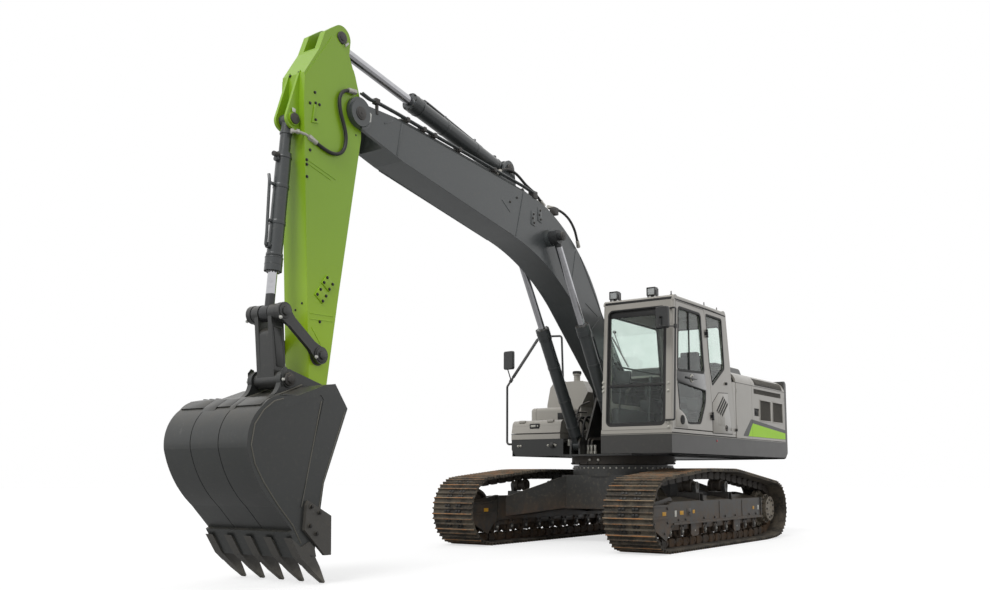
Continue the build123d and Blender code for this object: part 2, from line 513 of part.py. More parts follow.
HOOD_RISE = 215
hood_low = make_face(Polyline(*[(x, y, HOOD_TOP + 1) for x, y in (
    (HOOD_X[0], HOOD_Y[0]), (HOOD_X[1], HOOD_Y[0]), (HOOD_X[1], HOOD_Y[1]), (HOOD_X[0], HOOD_Y[1]), (HOOD_X[0], HOOD_Y[0]))]))
hood_high = make_face(Polyline(*[(x, y, HOOD_TOP + HOOD_RISE) for x, y in (
    (HOOD_X[0] + 70, HOOD_Y[0] + 60), (HOOD_X[1] - 40, HOOD_Y[0] + 60), (HOOD_X[1] - 40, HOOD_Y[1] - 60),
    (HOOD_X[0] + 70, HOOD_Y[1] - 60), (HOOD_X[0] + 70, HOOD_Y[0] + 60))]))
hood_outer = loft([hood_low, hood_high])
hood_outer = fillet(hood_outer.edges().group_by(Axis.Z)[-1], 40)
hood_inner = Pos(0, 0, -30) * scale(hood_outer, by=(0.94, 0.96, 1))
middle = ((HOOD_X[0] + HOOD_X[1]) / 2, (HOOD_Y[0] + HOOD_Y[1]) / 2)
hood_inner = Pos(middle[0] * (1 - 0.94), middle[1] * (1 - 0.96), 0) * hood_inner
hood = hood_outer - hood_inner
for _, moving in hood_hinges:
    hood += moving
save("engine_hood", hood)

# ---------------------------------------------------------------- right deck
TANK_X, TANK_Y, TANK_TOP = (-950, -250), (15 - SIDE, -680), 2180
TANK_SHOULDER, TANK_WAIST = 1862, 1820      # where the outer and the inner side start to lean in
tank_section = Plane.YZ * make_face(Polyline(
    (TANK_Y[0], DECK_HIGH + 0.3), (TANK_Y[0] + 8, TANK_SHOULDER), (TANK_Y[0] + 60, TANK_TOP - 75), (TANK_Y[0] + 125, TANK_TOP),
    (TANK_Y[1] - 78, TANK_TOP), (TANK_Y[1], TANK_TOP - 160), (TANK_Y[1] - 110, TANK_WAIST), (TANK_Y[1] - 110, DECK_HIGH + 0.3),
    (TANK_Y[0], DECK_HIGH + 0.3)))
fuel_tank = Pos(TANK_X[0], 0, 0) * extrude(tank_section, TANK_X[1] - TANK_X[0], dir=(1, 0, 0))
fuel_tank -= Pos(TANK_X[0] + 8, 0, 0) * extrude(offset(tank_section, -8, kind=Kind.INTERSECTION), TANK_X[1] - TANK_X[0] - 16, dir=(1, 0, 0))
fuel_tank = fillet(fuel_tank.edges().filter_by(Axis.X).group_by(Axis.Z)[-1], 22)
FILLER = (-330, -900)
fuel_tank += post(*FILLER, 46, TANK_TOP - 4, TANK_TOP + 95) + post(*FILLER, 58, TANK_TOP + 90, TANK_TOP + 118)
fuel_tank += post(*FILLER, 40, TANK_TOP + 110, TANK_TOP + 145)
for rise in (25, 48, 71):                                # grooves round the filler neck
    fuel_tank -= post(*FILLER, 60, TANK_TOP + rise, TANK_TOP + rise + 6) - post(*FILLER, 42, TANK_TOP, TANK_TOP + 90)
save("fuel_tank", fuel_tank)

HYD_X = (PUMP_FRONT + SEAM, TANK_X[0] - SEAM)
hydraulic_tank = block(HYD_X, TANK_Y, (DECK_HIGH + 0.3, HOOD_TOP - 25))
hydraulic_tank = fillet(hydraulic_tank.edges().filter_by(Axis.X).group_by(Axis.Z)[-1], 60)
hydraulic_tank -= block((HYD_X[0] + 8, HYD_X[1] - 8), (TANK_Y[0] + 8, TANK_Y[1] - 8), (DECK_HIGH + 8, HOOD_TOP - 100))
save("hydraulic_tank", hydraulic_tank)

BATTERY_X, BATTERY_TOP = (-244, 160), 1790
TOOL_TOP = 1590
battery_box = block(BATTERY_X, (-SIDE, -800), (DECK_HIGH + 0.3, BATTERY_TOP))
battery_box = fillet(battery_box.edges().filter_by(Axis.Z) + battery_box.edges().group_by(Axis.Z)[-1], 48)
groove = block((BATTERY_X[0] - 50, BATTERY_X[1] + 50), (-SIDE + 95, -SIDE + 103), (TOOL_TOP - 50, BATTERY_TOP + 50))
battery_box -= groove - offset(battery_box, -6)
save("battery_box", battery_box)

# Toolbox in front: an open tray and a lid that is its front and top
TOOL_X, TOOL_Y, TOOL_RIM = (166, RIGHT_FRONT + 5), (-SIDE, -600), 1412
toolbox = block(TOOL_X, TOOL_Y, (DECK_HIGH + RUN, TOOL_RIM))
toolbox -= block((TOOL_X[0] + 10, TOOL_X[1] - 10), (TOOL_Y[0] + 10, TOOL_Y[1] - 10), (DECK_HIGH + 12, TOOL_RIM + 10))
toolbox += block((TOOL_X[0], TOOL_X[0] + 8), TOOL_Y, (TOOL_RIM - 20, TOOL_TOP - 12))
LID_REAR = TOOL_X[0] + 18
TOOL_HINGE = (TOOL_X[0] + 10, TOOL_TOP + 16)
lid_profile = outline((LID_REAR, TOOL_RIM + SEAM), (LID_REAR, TOOL_TOP), (TOOL_X[1] - 90, TOOL_TOP),
                      ((TOOL_X[1] - 42, TOOL_TOP - 28), (TOOL_X[1] - 22, TOOL_TOP - 80)), (TOOL_X[1], TOOL_RIM + SEAM))
lid = slab(lid_profile, *TOOL_Y)
lid -= slab(offset(lid_profile, -12), TOOL_Y[0] + 12, TOOL_Y[1] - 12)
lid -= block((LID_REAR - 5, TOOL_X[1] - 16), (TOOL_Y[0] + 12, TOOL_Y[1] - 12), (TOOL_RIM - 10, TOOL_RIM + 30))
lid -= block((LID_REAR - 5, LID_REAR + 20), (TOOL_Y[0] + 12, TOOL_Y[1] - 12), (TOOL_RIM - 10, TOOL_TOP - 12))
for y in (TOOL_Y[0] + 150, TOOL_Y[1] - 150):
    fixed, moving = lid_hinge(*TOOL_HINGE, y, 1, (TOOL_X[0] + 4, TOOL_TOP - 16))
    toolbox += fixed
    lid += moving
save("toolbox", toolbox)
save("toolbox_lid", lid)

# ---------------------------------------------------------------- cab
def front_x(z, inset=0):
    """X of the leaning front face at a height."""
    return CAB_FRONT_LOW + (CAB_FRONT_HIGH - CAB_FRONT_LOW) * (z - CAB_BASE) / (ROOF_RAIL - CAB_BASE) - inset


def rear_x(z, inset=0):
    return CAB_REAR_LOW + (CAB_REAR_HIGH - CAB_REAR_LOW) * (z - CAB_BASE) / (ROOF_RAIL - CAB_BASE) + inset


FLOOR_TOP = CAB_BASE + 45
cab_floor = block((CAB_REAR_LOW + 12, CAB_FRONT_LOW - 8), (CAB_RIGHT, CAB_LEFT - 4), (CAB_BASE, FLOOR_TOP))
for x in (-430, 1220):
    for y in (560, 1260):
        cab_floor += post(x, y, 60, DECK_HIGH + 0.3, CAB_BASE + 5)
save("cab_floor", cab_floor)

WIND_Y, WIND_Z = (515, 1290), (1425, 2830)


def leaning(z0, z1, inset0, inset1, y0, y1):
    """Slab parallel to the front face."""
    return slab(outline((front_x(z0, inset1), z0), (front_x(z0, inset0), z0), (front_x(z1, inset0), z1),
                        (front_x(z1, inset1), z1)), y0, y1)


def window_tool(y_range, z_range, radius):
    """Rounded box that cuts a window through an X-facing wall."""
    tool = block((-2000, 2000), y_range, z_range)
    return fillet(tool.edges().filter_by(Axis.X), radius)


cab_front = leaning(FLOOR_TOP + 0.3, ROOF_RAIL, 0, PILLAR, CAB_RIGHT, CAB_LEFT)
outer_corners = cab_front.edges().filter_by(lambda e: abs(e.tangent_at(0).Z) > 0.9).group_by(Axis.X)[-1]
cab_front = fillet(outer_corners, 30)
cab_front -= window_tool(WIND_Y, WIND_Z, 70)
save("cab_front_frame", cab_front)

SPLIT_Z = 1905              # between the two panes of the windshield
panes = leaning(SPLIT_Z + 12, WIND_Z[1] - 1, 18, 18 + GLASS, WIND_Y[0] + 1, WIND_Y[1] - 1)
panes = [panes & window_tool((WIND_Y[0] + 0.5, WIND_Y[1] - 0.5), (WIND_Z[0] + 0.5, WIND_Z[1] - 0.5), 70)]
low_pane = leaning(WIND_Z[0] + 1, SPLIT_Z - 12, 18, 18 + GLASS, WIND_Y[0] + 1, WIND_Y[1] - 1)
panes.append(low_pane & window_tool((WIND_Y[0] + 0.5, WIND_Y[1] - 0.5), (WIND_Z[0] + 0.5, WIND_Z[1] - 0.5), 70))

roof = slab(outline((rear_x(ROOF_RAIL + 0.3), ROOF_RAIL + 0.3), (front_x(ROOF_RAIL + 0.3), ROOF_RAIL + 0.3),
                    ((1272, 2942), (1215, CAB_ROOF)), (-190, CAB_ROOF),
                    ((-262, 2942), (rear_x(ROOF_RAIL + 0.3), ROOF_RAIL + 0.3))), CAB_RIGHT, CAB_LEFT)
roof = fillet(roof.edges().filter_by(Axis.X).group_by(Axis.Z)[-1], 28)
roof -= block((-170, 1170), (CAB_RIGHT + 45, CAB_LEFT - 45), (0, CAB_ROOF - 30))
save("cab_roof", roof)

SIDE_LOW, SIDE_TOP = FLOOR_TOP + 0.3, ROOF_RAIL
rear_wall = slab(outline((rear_x(SIDE_LOW), SIDE_LOW), (rear_x(SIDE_TOP), SIDE_TOP), (rear_x(SIDE_TOP, WALL), SIDE_TOP),
                         (rear_x(SIDE_LOW, WALL), SIDE_LOW)), CAB_RIGHT, CAB_LEFT)
rear_wall -= window_tool((540, 1285), (2260, 2790), 60)
save("cab_rear_wall", rear_wall)

right_wall = slab(outline((rear_x(SIDE_LOW, WALL + 0.3), SIDE_LOW), (front_x(SIDE_LOW, PILLAR + 0.3), SIDE_LOW),
                          (front_x(SIDE_TOP, PILLAR + 0.3), SIDE_TOP), (rear_x(SIDE_TOP, WALL + 0.3), SIDE_TOP)),
                  CAB_RIGHT, CAB_RIGHT + WALL)
right_window = outline((-300, 1720), (1180, 1720), (1165, 2800), (-160, 2800))
right_wall -= slab(fillet(right_window.vertices(), 60), 0, 700)
save("cab_right_wall", right_wall)

# Door outline and the rest of the left side, with a seam between them
DOOR_LOW = SIDE_LOW + 12    # the hinge line leans, so a lower edge would dip into the floor as it opens
DOOR = ((1318, DOOR_LOW), (1219, 2884), (430, 2884), (385, 2790), (238, 1769), (223, DOOR_LOW))
BODY_EDGE = ((223 - SEAM, SIDE_LOW), (238 - SEAM, 1769), (385 - SEAM, 2790), (430 - SEAM, ROOF_RAIL))
left_rear = slab(outline(*BODY_EDGE, (rear_x(SIDE_TOP, WALL + 0.3), SIDE_TOP), (rear_x(SIDE_LOW, WALL + 0.3), SIDE_LOW)),
                 CAB_LEFT - WALL, CAB_LEFT)
QUARTER = ((372, 2850), (-140, 2850), (-205, 2205), (205, 1955), (285, 2215))
left_rear -= slab(fillet(outline(*QUARTER).vertices(), 40), 1000, 2000)
HINGE_LOW, HINGE_HIGH = Vector(236, SIDE + 18, 1580), Vector(364, SIDE + 18, 2600)
hinge_way = (HINGE_HIGH - HINGE_LOW).normalized()
hinge_plane = Plane(origin=HINGE_LOW, x_dir=(hinge_way.Z, 0, -hinge_way.X), z_dir=hinge_way)
HINGE_SPOTS = (0, (HINGE_HIGH - HINGE_LOW).length)
door_knuckles = []
for spot in HINGE_SPOTS:
    for end in (-1, 1):                                  # ears above and below the door's knuckle
        at = spot + end * 38
        left_rear += hinge_plane * (Pos(0, 0, at) * Cylinder(13, 24) + Pos(-28, -14.5, at) * Box(56, 7, 24))
    left_rear += hinge_plane * (Pos(0, 0, spot) * Cylinder(7, 98))
    door_knuckles.append(hinge_plane * ((Pos(0, 0, spot) * Cylinder(13, 44) + Pos(28, -14.5, spot) * Box(56, 7, 44))
                                        - Pos(0, 0, spot) * Cylinder(7 + PIN_PLAY, 60)))
save("cab_left_frame", left_rear)

UPPER_WINDOW = ((1170, 2830), (520, 2830), (430, 2090), (1215, 2060))
LOWER_WINDOW = ((395, 1900), (415, 1730), (566, 1470), (890, 1455), (1150, 1500), (1225, 1960))
door = slab(outline(*DOOR), CAB_LEFT - WALL, CAB_LEFT)
for corners, radius in ((UPPER_WINDOW, 60), (LOWER_WINDOW, 50)):
    door -= slab(fillet(outline(*corners).vertices(), radius), 1000, 2000)
for knuckle in door_knuckles:
    door += knuckle
save("cab_door", door)

MID = CAB_LEFT - WALL / 2
door_panes = [slab(offset(fillet(outline(*corners).vertices(), radius), -0.5), MID - GLASS / 2, MID + GLASS / 2)
              for corners, radius in ((UPPER_WINDOW, 60), (LOWER_WINDOW, 50))]
save("door_glass", *door_panes)

quarter_pane = slab(offset(fillet(outline(*QUARTER).vertices(), 40), -0.5), MID - GLASS / 2, MID + GLASS / 2)
right_pane = slab(offset(fillet(right_window.vertices(), 60), -0.5), CAB_RIGHT + 15, CAB_RIGHT + 15 + GLASS)
rear_pane = slab(outline((rear_x(2260, 15), 2260), (rear_x(2260, 15 + GLASS), 2260), (rear_x(2790, 15 + GLASS), 2790),
                         (rear_x(2790, 15), 2790)), 541, 1284) & window_tool((540.5, 1284.5), (2260.5, 2789.5), 60)
save("cab_glass", *panes, quarter_pane, right_pane, rear_pane)

# Seat and consoles
SEAT_X, SEAT_Y = 150, 912
seat_base = block((SEAT_X - 190, SEAT_X + 190), (SEAT_Y - 190, SEAT_Y + 190), (FLOOR_TOP + 0.3, 1700))
seat_base = fillet(seat_base.edges().filter_by(Axis.Z), 40)
squab = fillet(block((SEAT_X - 230, SEAT_X + 260), (SEAT_Y - 240, SEAT_Y + 240), (1700.3, 1820)).edges(), 35)
backrest = Pos(SEAT_X - 200, SEAT_Y, 1790) * Rot(0, -10, 0) * Pos(0, 0, 325) * Box(110, 460, 640)
backrest = fillet(backrest.edges(), 35)
save("operator_seat", seat_base, squab + backrest)
consoles = []
for side in (1, -1):
    box = block((SEAT_X - 150, SEAT_X + 370), (SEAT_Y + side * 262, SEAT_Y + side * 385), (1640, 1800))
    box = fillet(box.edges().filter_by(Axis.Y), 40)
    leg = block((SEAT_X - 60, SEAT_X + 120), (SEAT_Y + side * 280, SEAT_Y + side * 370), (FLOOR_TOP + 0.3, 1650))
    stick = post(SEAT_X + 300, SEAT_Y + side * 325, 14, 1790, 1900) + Pos(SEAT_X + 300, SEAT_Y + side * 325, 1940) * Cylinder(26, 110)
    consoles.append(box + leg + stick)
save("control_consoles", *consoles)

# ---------------------------------------------------------------- mirrors, rails and lamps
RAIL_X, RAIL_Y = RIGHT_FRONT - 40, -SIDE - 103           # upright of the deck rail
HOOP_X = TANK_X[1] - 25                                  # where its hoop stands on the fuel tank
rail_points = ((RAIL_X, -SIDE - 0.3, 1276), (RAIL_X, RAIL_Y, 1276), (RAIL_X, RAIL_Y, 2070), (HOOP_X, RAIL_Y - 22, 2870),
               (HOOP_X, -1120, 2850), (HOOP_X, -1100, TANK_TOP + 0.3))
deck_rail = tube(rail_points, 15, 40)
save("deck_rail", deck_rail)


def mirror_head(x, y, z, width, height, yaw):
    """Rounded shell of a mirror, its glass to the rear."""
    shell = Box(42, width, height)
    shell = fillet(shell.edges().filter_by(Axis.X), 26)
    shell = fillet(shell.faces().sort_by(Axis.X)[-1].edges(), 14)
    shell -= Pos(-21, 0, 0) * Box(8, width - 26, height - 26)
    return Pos(x, y, z) * Rot(0, 0, yaw) * shell


def clamp_on(low, high, share, radius):
    """Collar on a rail between two of its points, and the hole that leaves the rail free."""
    spot = Vector(*low) + (Vector(*high) - Vector(*low)) * share
    across = Plane(origin=spot, z_dir=Vector(*high) - Vector(*low))
    return tuple(spot), across * Cylinder(radius + 9, 46), across * Cylinder(radius, 120)


spot, collar, hole = clamp_on(rail_points[2], rail_points[3], 0.115, 15)
deck_mirror = mirror_head(560, RAIL_Y + 13, 2436, 175, 255, -8) + collar + tube((spot, (564, RAIL_Y - 10, 2330)), 8, 0)
save("deck_mirror", deck_mirror - hole)

# Grab rail before the left front pillar, with the cab's mirror clamped to it
GRAB_Y, GRAB_OFF = CAB_LEFT + 47, 32
grab_rail = tube((
    (front_x(1483) - 2, 1308, 1483), (front_x(1483) + GRAB_OFF, 1308, 1483), (front_x(1483) + GRAB_OFF, GRAB_Y, 1483),
    (front_x(2786) + GRAB_OFF, GRAB_Y, 2786), (front_x(2786) + GRAB_OFF, 1348, 2786), (front_x(2786) - 2, 1348, 2786)), 11, 18) - cab_front
save("cab_grab_rail", grab_rail)
spot, collar, hole = clamp_on((front_x(1483) + GRAB_OFF, GRAB_Y, 1483), (front_x(2786) + GRAB_OFF, GRAB_Y, 2786), 0.83, 11)
cab_mirror = mirror_head(1515, CAB_LEFT - 36, 2650, 172, 255, -10) + collar
cab_mirror += tube((spot, (1562, CAB_LEFT + 25, 2540), (1562, CAB_LEFT - 60, 2550), (1562, CAB_LEFT - 60, 2660)), 8, 25)
cab_mirror += Pos(1544, CAB_LEFT - 60, 2655) * Rot(0, 90, 0) * Cylinder(15, 40)
save("cab_mirror", cab_mirror - hole)

lamp_y = (CAB_RIGHT + 90, CAB_LEFT - 330)
lamps = [block((1130, 1200), (y - 55, y + 55), (CAB_ROOF + 25, CAB_ROOF + 125)) +
         block((1150, 1175), (y - 15, y + 15), (CAB_ROOF + 0.3, CAB_ROOF + 30)) for y in lamp_y]
save("work_lamps", *lamps)

# ---------------------------------------------------------------- boom
def eye(pin, radius, y0, y1, bore=PIN_RADIUS):
    return bar(pin, radius, y0, y1) - bar(pin, bore, y0 - 50, y1 + 50)


boom_side = outline(
    (70, 1950), (853, 2882), ((1395, 3552), (2218, 3990)), (2617, 4060), (4823, 4232), (5180, 4225),
    ((5430, 4130), (5290, 3988)), (4904, 3890), (4700, 3835), (2771, 3483), ((2060, 3240), (1548, 2907)), (255, 1765))
boom_inner = outline(
    (95, 1950), (880, 2882), ((1405, 3530), (2224, 3974)), (2620, 4044), (4750, 4212),
    (4750, 3864), (2770, 3499), ((2052, 3256), (1530, 2912)), (250, 1790))
boom = slab(boom_side, -BOOM_HALF, BOOM_HALF)
boom -= slab(boom_inner, -BOOM_HALF + BOOM_WALL, BOOM_HALF - BOOM_WALL) & block((420, 4750), (-500, 500), (0, 5000))
boom -= bar(BOOM_TIP, 420, -ARM_HALF - SIDE_PLAY, ARM_HALF + SIDE_PLAY)
boom += bar(BOOM_FOOT, 138, -WEB_IN + SIDE_PLAY + 2, WEB_IN - SIDE_PLAY - 2)
boom -= bar(BOOM_FOOT, PIN_RADIUS + 10, -400, 400)
for side in (1, -1):
    boom += bar(BOOM_CYL_TOP, 100, side * (BOOM_HALF - 10), side * (BOOM_CYL_Y - 50))
    boom += bar(BOOM_TIP, 120, side * (ARM_HALF + SIDE_PLAY), side * (BOOM_HALF + 22))
boom += bar(BOOM_TIP, PIN_RADIUS + 5 - PIN_PLAY, -BOOM_HALF, BOOM_HALF)
for side in (1, -1):                                     # ears of the arm cylinder's foot
    boom += slab(belt((2700, 4010, 10), (3020, 4040, 10), (*ARM_CYL_FOOT, 95)), side * 94, side * 124)
boom += bar(ARM_CYL_FOOT, PIN_RADIUS - PIN_PLAY, -136, 136)
save("boom", boom)


# ---------------------------------------------------------------- arm
arm_side = outline(
    (5400, 4640), (5388, 4760), ((5490, 4884), (5567, 4862)), (5701, 4759), (5770, 4570), (5935, 4300), (5936, 4044),
    (5798, 1600), ((5700, 1390), (5597, 1600)), (5481, 2376), (5232, 3903), (5242, 4242), (5322, 4469))
arm_inner = outline((5900, 4240), (5915, 4040), (5780, 1720), (5612, 1720), (5500, 2376), (5252, 3903), (5262, 4240),
                    (5340, 4460), (5745, 4460))
HEAD_EAR = 51               # inner face of the ears that hold the bucket cylinder
FORK_LINE = ((5934, 4267), (5644, 4700), ((5588, 4752), (5531, 4728)), (5424, 4612), (5301, 4462), (5235, 4240))
arm = slab(arm_side, -ARM_HALF, ARM_HALF)
arm -= slab(arm_inner, -ARM_HALF + ARM_WALL, ARM_HALF - ARM_WALL)
arm += bar(BOOM_TIP, 130, -ARM_HALF, ARM_HALF)
arm -= bar(BOOM_TIP, PIN_RADIUS + 5, -300, 300)
arm -= bar(ARM_TOP, 230, -70, 70) + block((5500, 5800), (-70, 70), (4590, 4950))
for side in (1, -1):                                     # the side plates end below the thinner fork
    arm -= slab(outline(*FORK_LINE, (5200, 5000), (6100, 5000)), side * (ARM_HALF - 5), side * (ARM_HALF + 5))
arm += bar(SIDE_LINK_PIN, 80, -ARM_HALF, ARM_HALF)
arm -= bar(SIDE_LINK_PIN, PIN_RADIUS - 5, -300, 300)
arm -= bar(BUCKET_PIN, PIN_RADIUS, -300, 300)
for side in (1, -1):
    arm += slab(belt((5880, 3745, 6), (*BUCKET_CYL_HEAD, 82), (5928, 4322, 6)), side * HEAD_EAR, side * (HEAD_EAR + 26))
    arm += bar(BUCKET_CYL_HEAD, 58, side * HEAD_EAR, side * (HEAD_EAR + 40))
arm += bar(BUCKET_CYL_HEAD, PIN_RADIUS - 5 - PIN_PLAY, -HEAD_EAR - 30, HEAD_EAR + 30)
save("arm", arm)


# ---------------------------------------------------------------- cylinders
def cylinder(foot, head, y, radii, barrel_length, rod_end, halves, neck, foot_bore, foot_radius=0):
    """Barrel and rod between two pins.

    radii: barrel, rod. rod_end: the rod's inner end, from the foot pin. halves: half widths of the foot and head eyes.
    neck: where the full barrel begins. foot_radius: of the foot eye, when the neck is a slimmer tube.
    """
    barrel_radius, rod_radius = radii
    length = hypot(head[0] - foot[0], head[1] - foot[1])
    lean = degrees(atan2(head[1] - foot[1], head[0] - foot[0]))
    place = Pos(foot[0], y, foot[1]) * Rot(0, -lean, 0)

    def along(radius, start, end):
        return Pos((start + end) / 2, 0, 0) * Rot(0, 90, 0) * Cylinder(radius, end - start)

    def cross(radius, at, half):
        return Pos(at, 0, 0) * Rot(90, 0, 0) * Cylinder(radius, 2 * half)

    eye_radius = barrel_radius + 4
    barrel = along(barrel_radius, neck, barrel_length) + cross(foot_radius or eye_radius, 0, halves[0])
    if foot_radius:
        barrel += along(foot_radius - 8, 0, neck + 10) + along(foot_radius - 2, neck - 190, neck - 170)
    else:
        barrel += Pos((neck + 10) / 2, 0, 0) * Box(neck + 10, 2 * halves[0], 1.7 * barrel_radius)
    barrel += along(barrel_radius + 9, barrel_length - 120, barrel_length)
    barrel -= along(rod_radius + PIN_PLAY, eye_radius + 20, barrel_length + 10)
    barrel -= cross(foot_bore, 0, 4 * halves[0])
    rod = along(rod_radius, rod_end, length - eye_radius * 0.3) + cross(eye_radius, length, halves[1])
    return place * barrel, place * rod


boom_barrel, boom_rod = cylinder(BOOM_CYL_FOOT, BOOM_CYL_TOP, BOOM_CYL_Y, (77, 42), 1640, 1000, (41, 48), 140, PIN_RADIUS)
boom_rod += bar(BOOM_CYL_TOP, PIN_RADIUS, BOOM_CYL_Y + 30, BOOM_CYL_Y + 105)
save("boom_barrel_left", boom_barrel)
save("boom_barrel_right", mirror_y(boom_barrel))
save("boom_rod_left", boom_rod)
save("boom_rod_right", mirror_y(boom_rod))
arm_barrel, arm_rod = cylinder(ARM_CYL_FOOT, ARM_TOP, 0, (85, 48), 1600, 1000, (88, 62), 60, PIN_RADIUS)
save("arm_barrel", arm_barrel)
save("arm_rod", arm_rod)
bucket_barrel, bucket_rod = cylinder(BUCKET_CYL_HEAD, LINK_PIN, 0, (65, 40), 1340, 330, (46, 48), 300, PIN_RADIUS - 5, 56)
save("bucket_barrel", bucket_barrel)
save("bucket_rod", bucket_rod)

# ---------------------------------------------------------------- bucket linkage
LINK_IN = ARM_HALF + 6
side_links = []
for side in (1, -1):
    link = slab(belt((*SIDE_LINK_PIN, 46), (*LINK_PIN, 46)), side * LINK_IN, side * (LINK_IN + 36))
    for pin, radius, width in ((SIDE_LINK_PIN, 74, 46), (LINK_PIN, 76, 50)):
        link += bar(pin, radius, side * LINK_IN, side * (LINK_IN + width))
        link += bar(pin, 40, side * (LINK_IN + width - 5), side * (LINK_IN + width + 9))
    for pin, other in ((SIDE_LINK_PIN, LINK_PIN), (LINK_PIN, SIDE_LINK_PIN)):    # heads flow into the shaft
        throat = [pin[i] + (other[i] - pin[i]) * 0.36 for i in (0, 1)]
        link += slab(belt((*pin, 72), (*throat, 30)), side * LINK_IN, side * (LINK_IN + 36))
    side_links.append(link)
side_pin = bar(SIDE_LINK_PIN, PIN_RADIUS - 5 - PIN_PLAY, -LINK_IN - 4, LINK_IN + 4)
save("side_links", side_links[0] + side_links[1] + side_pin)

LINK_HALF = ARM_HALF        # of its cross tubes
LINK_BODY = ARM_HALF - 38
toward = (BUCKET_LINK_PIN[0] - LINK_PIN[0], BUCKET_LINK_PIN[1] - LINK_PIN[1])
link_length = hypot(*toward)
neck = [LINK_PIN[i] + toward[i] * 185 / link_length for i in (0, 1)]
bucket_link = slab(belt((*BUCKET_LINK_PIN, 62), (*neck, 62)), -LINK_BODY, LINK_BODY)
for side in (1, -1):
    bucket_link += slab(belt((*BUCKET_LINK_PIN, 62), (*LINK_PIN, 66)), side * 58, side * LINK_BODY)
    bucket_link += bar(LINK_PIN, 72, side * 58, side * LINK_HALF)
bucket_link += bar(BUCKET_LINK_PIN, 68, -LINK_HALF, LINK_HALF)
bucket_link -= bar(BUCKET_LINK_PIN, PIN_RADIUS - 5, -300, 300)
save("bucket_link", bucket_link)

# ---------------------------------------------------------------- bucket
bucket_face = outline(
    (6040, 208), (6130, 229), (6258, 422), (6440, 611), ((6630, 830), (6723, 1055)), ((6702, 1228), (6590, 1372)),
    ((6505, 1436), (6400, 1455)), (6237, 1470), (5960, 1570), (5841, 1591), (5697, 1397), (5943, 791), (6018, 312))
inside_face = outline(
    (6086, 199), (6243, 435), (6426, 625), ((6613, 840), (6703, 1055)), ((6684, 1220), (6574, 1359)),
    ((6495, 1418), (6396, 1435)), (6232, 1450), (5954, 1549), (5850, 1570), (5722, 1394), (5500, 1300), (5700, 199))
bucket = slab(bucket_face, -BUCKET_HALF, BUCKET_HALF)
bucket -= slab(inside_face, -BUCKET_HALF + BUCKET_SHEET, BUCKET_HALF - BUCKET_SHEET)
bucket += slab(outline((6165, 216), (6294, 420), (6250, 444), (6105, 226)), -BUCKET_HALF, BUCKET_HALF)     # lip
skin = slab(bucket_face, -BUCKET_HALF, BUCKET_HALF) - slab(offset(bucket_face, -5), -BUCKET_HALF, BUCKET_HALF)
for y in JOINTS:                                         # joints between the plates of the back
    bucket -= skin & block((6260, 6800), (y - 4, y + 4), (440, 1372))
dish = outline((5968, 1455), (6188, 602), (6216, 600), (6548, 935), ((6612, 1110), (6560, 1290)), (6240, 1405), (6000, 1490))
for side in (1, -1):                                     # dished middle of each side
    bucket -= slab(dish, side * (BUCKET_HALF - 4), side * (BUCKET_HALF + 5))
EAR_IN, EAR_OUT = ARM_HALF + 7, ARM_HALF + 57
closure = bar(BUCKET_PIN, 218, -EAR_IN - 10, EAR_IN + 10) & slab(bucket_face, -500, 500)
bucket += closure
ear_foot = outline((5900, 1560), (5900, 1650), (6160, 1600), ((6206, 1508), (6300, 1464)), (6300, 1452), (6235, 1458))
for side in (1, -1):
    bucket += slab(belt((*BUCKET_PIN, 105), (6120, 1500, 15), (*BUCKET_LINK_PIN, 86)), side * EAR_IN, side * EAR_OUT)
    bucket += slab(ear_foot, side * EAR_IN, side * EAR_OUT)
bucket -= bar(BUCKET_PIN, 198, -EAR_IN, EAR_IN)
bucket += bar(BUCKET_PIN, PIN_RADIUS - PIN_PLAY, -EAR_OUT - 10, EAR_OUT + 10)
bucket += bar(BUCKET_LINK_PIN, PIN_RADIUS - 5 - PIN_PLAY, -EAR_OUT - 10, EAR_OUT + 10)
for pin in (BUCKET_PIN, BUCKET_LINK_PIN):
    for side in (1, -1):                                 # collar and pin head on the outside of each ear
        bucket += bar(pin, 66, side * (EAR_OUT - 1), side * (EAR_OUT + 14))
save("bucket", bucket)

# Teeth: an adapter over the lip, and a pointed tooth that sits on its nose
ADAPTER_HALF = 43
NOSE = (6066, 188)          # middle of the joint between adapter and tooth
TIP = (5908, 10)
reach = hypot(TIP[0] - NOSE[0], TIP[1] - NOSE[1])
way = ((TIP[0] - NOSE[0]) / reach, (TIP[1] - NOSE[1]) / reach)
across = (-way[1], way[0])                               # towards the outside of the bucket
adapter_side = outline((6286, 376), (6184, 222), (6130, 176), (6104, 154), (6022, 222), (6042, 296), (6092, 336), (6180, 300))
teeth = []
for i in range(TEETH):
    y = TOOTH_SPREAD * (2 * i / (TEETH - 1) - 1)
    adapter = slab(adapter_side, y - ADAPTER_HALF, y + ADAPTER_HALF)
    sections = []
    for share, half_depth, half_width in ((-0.06, 50, 41), (0.4, 35, 38), (1, 7, 25)):
        x, z = NOSE[0] + way[0] * share * reach, NOSE[1] + way[1] * share * reach
        corners = [(x + s * across[0] * half_depth, y + t * half_width, z + s * across[1] * half_depth)
                   for s, t in ((-1, -1), (1, -1), (1, 1), (-1, 1))]
        sections.append(make_face(Polyline(*corners, corners[0])))
    tooth = adapter + loft(sections, ruled=True)
    teeth.append(max((tooth - bucket).solids(), key=lambda s: s.volume))
save("bucket_teeth", *teeth)

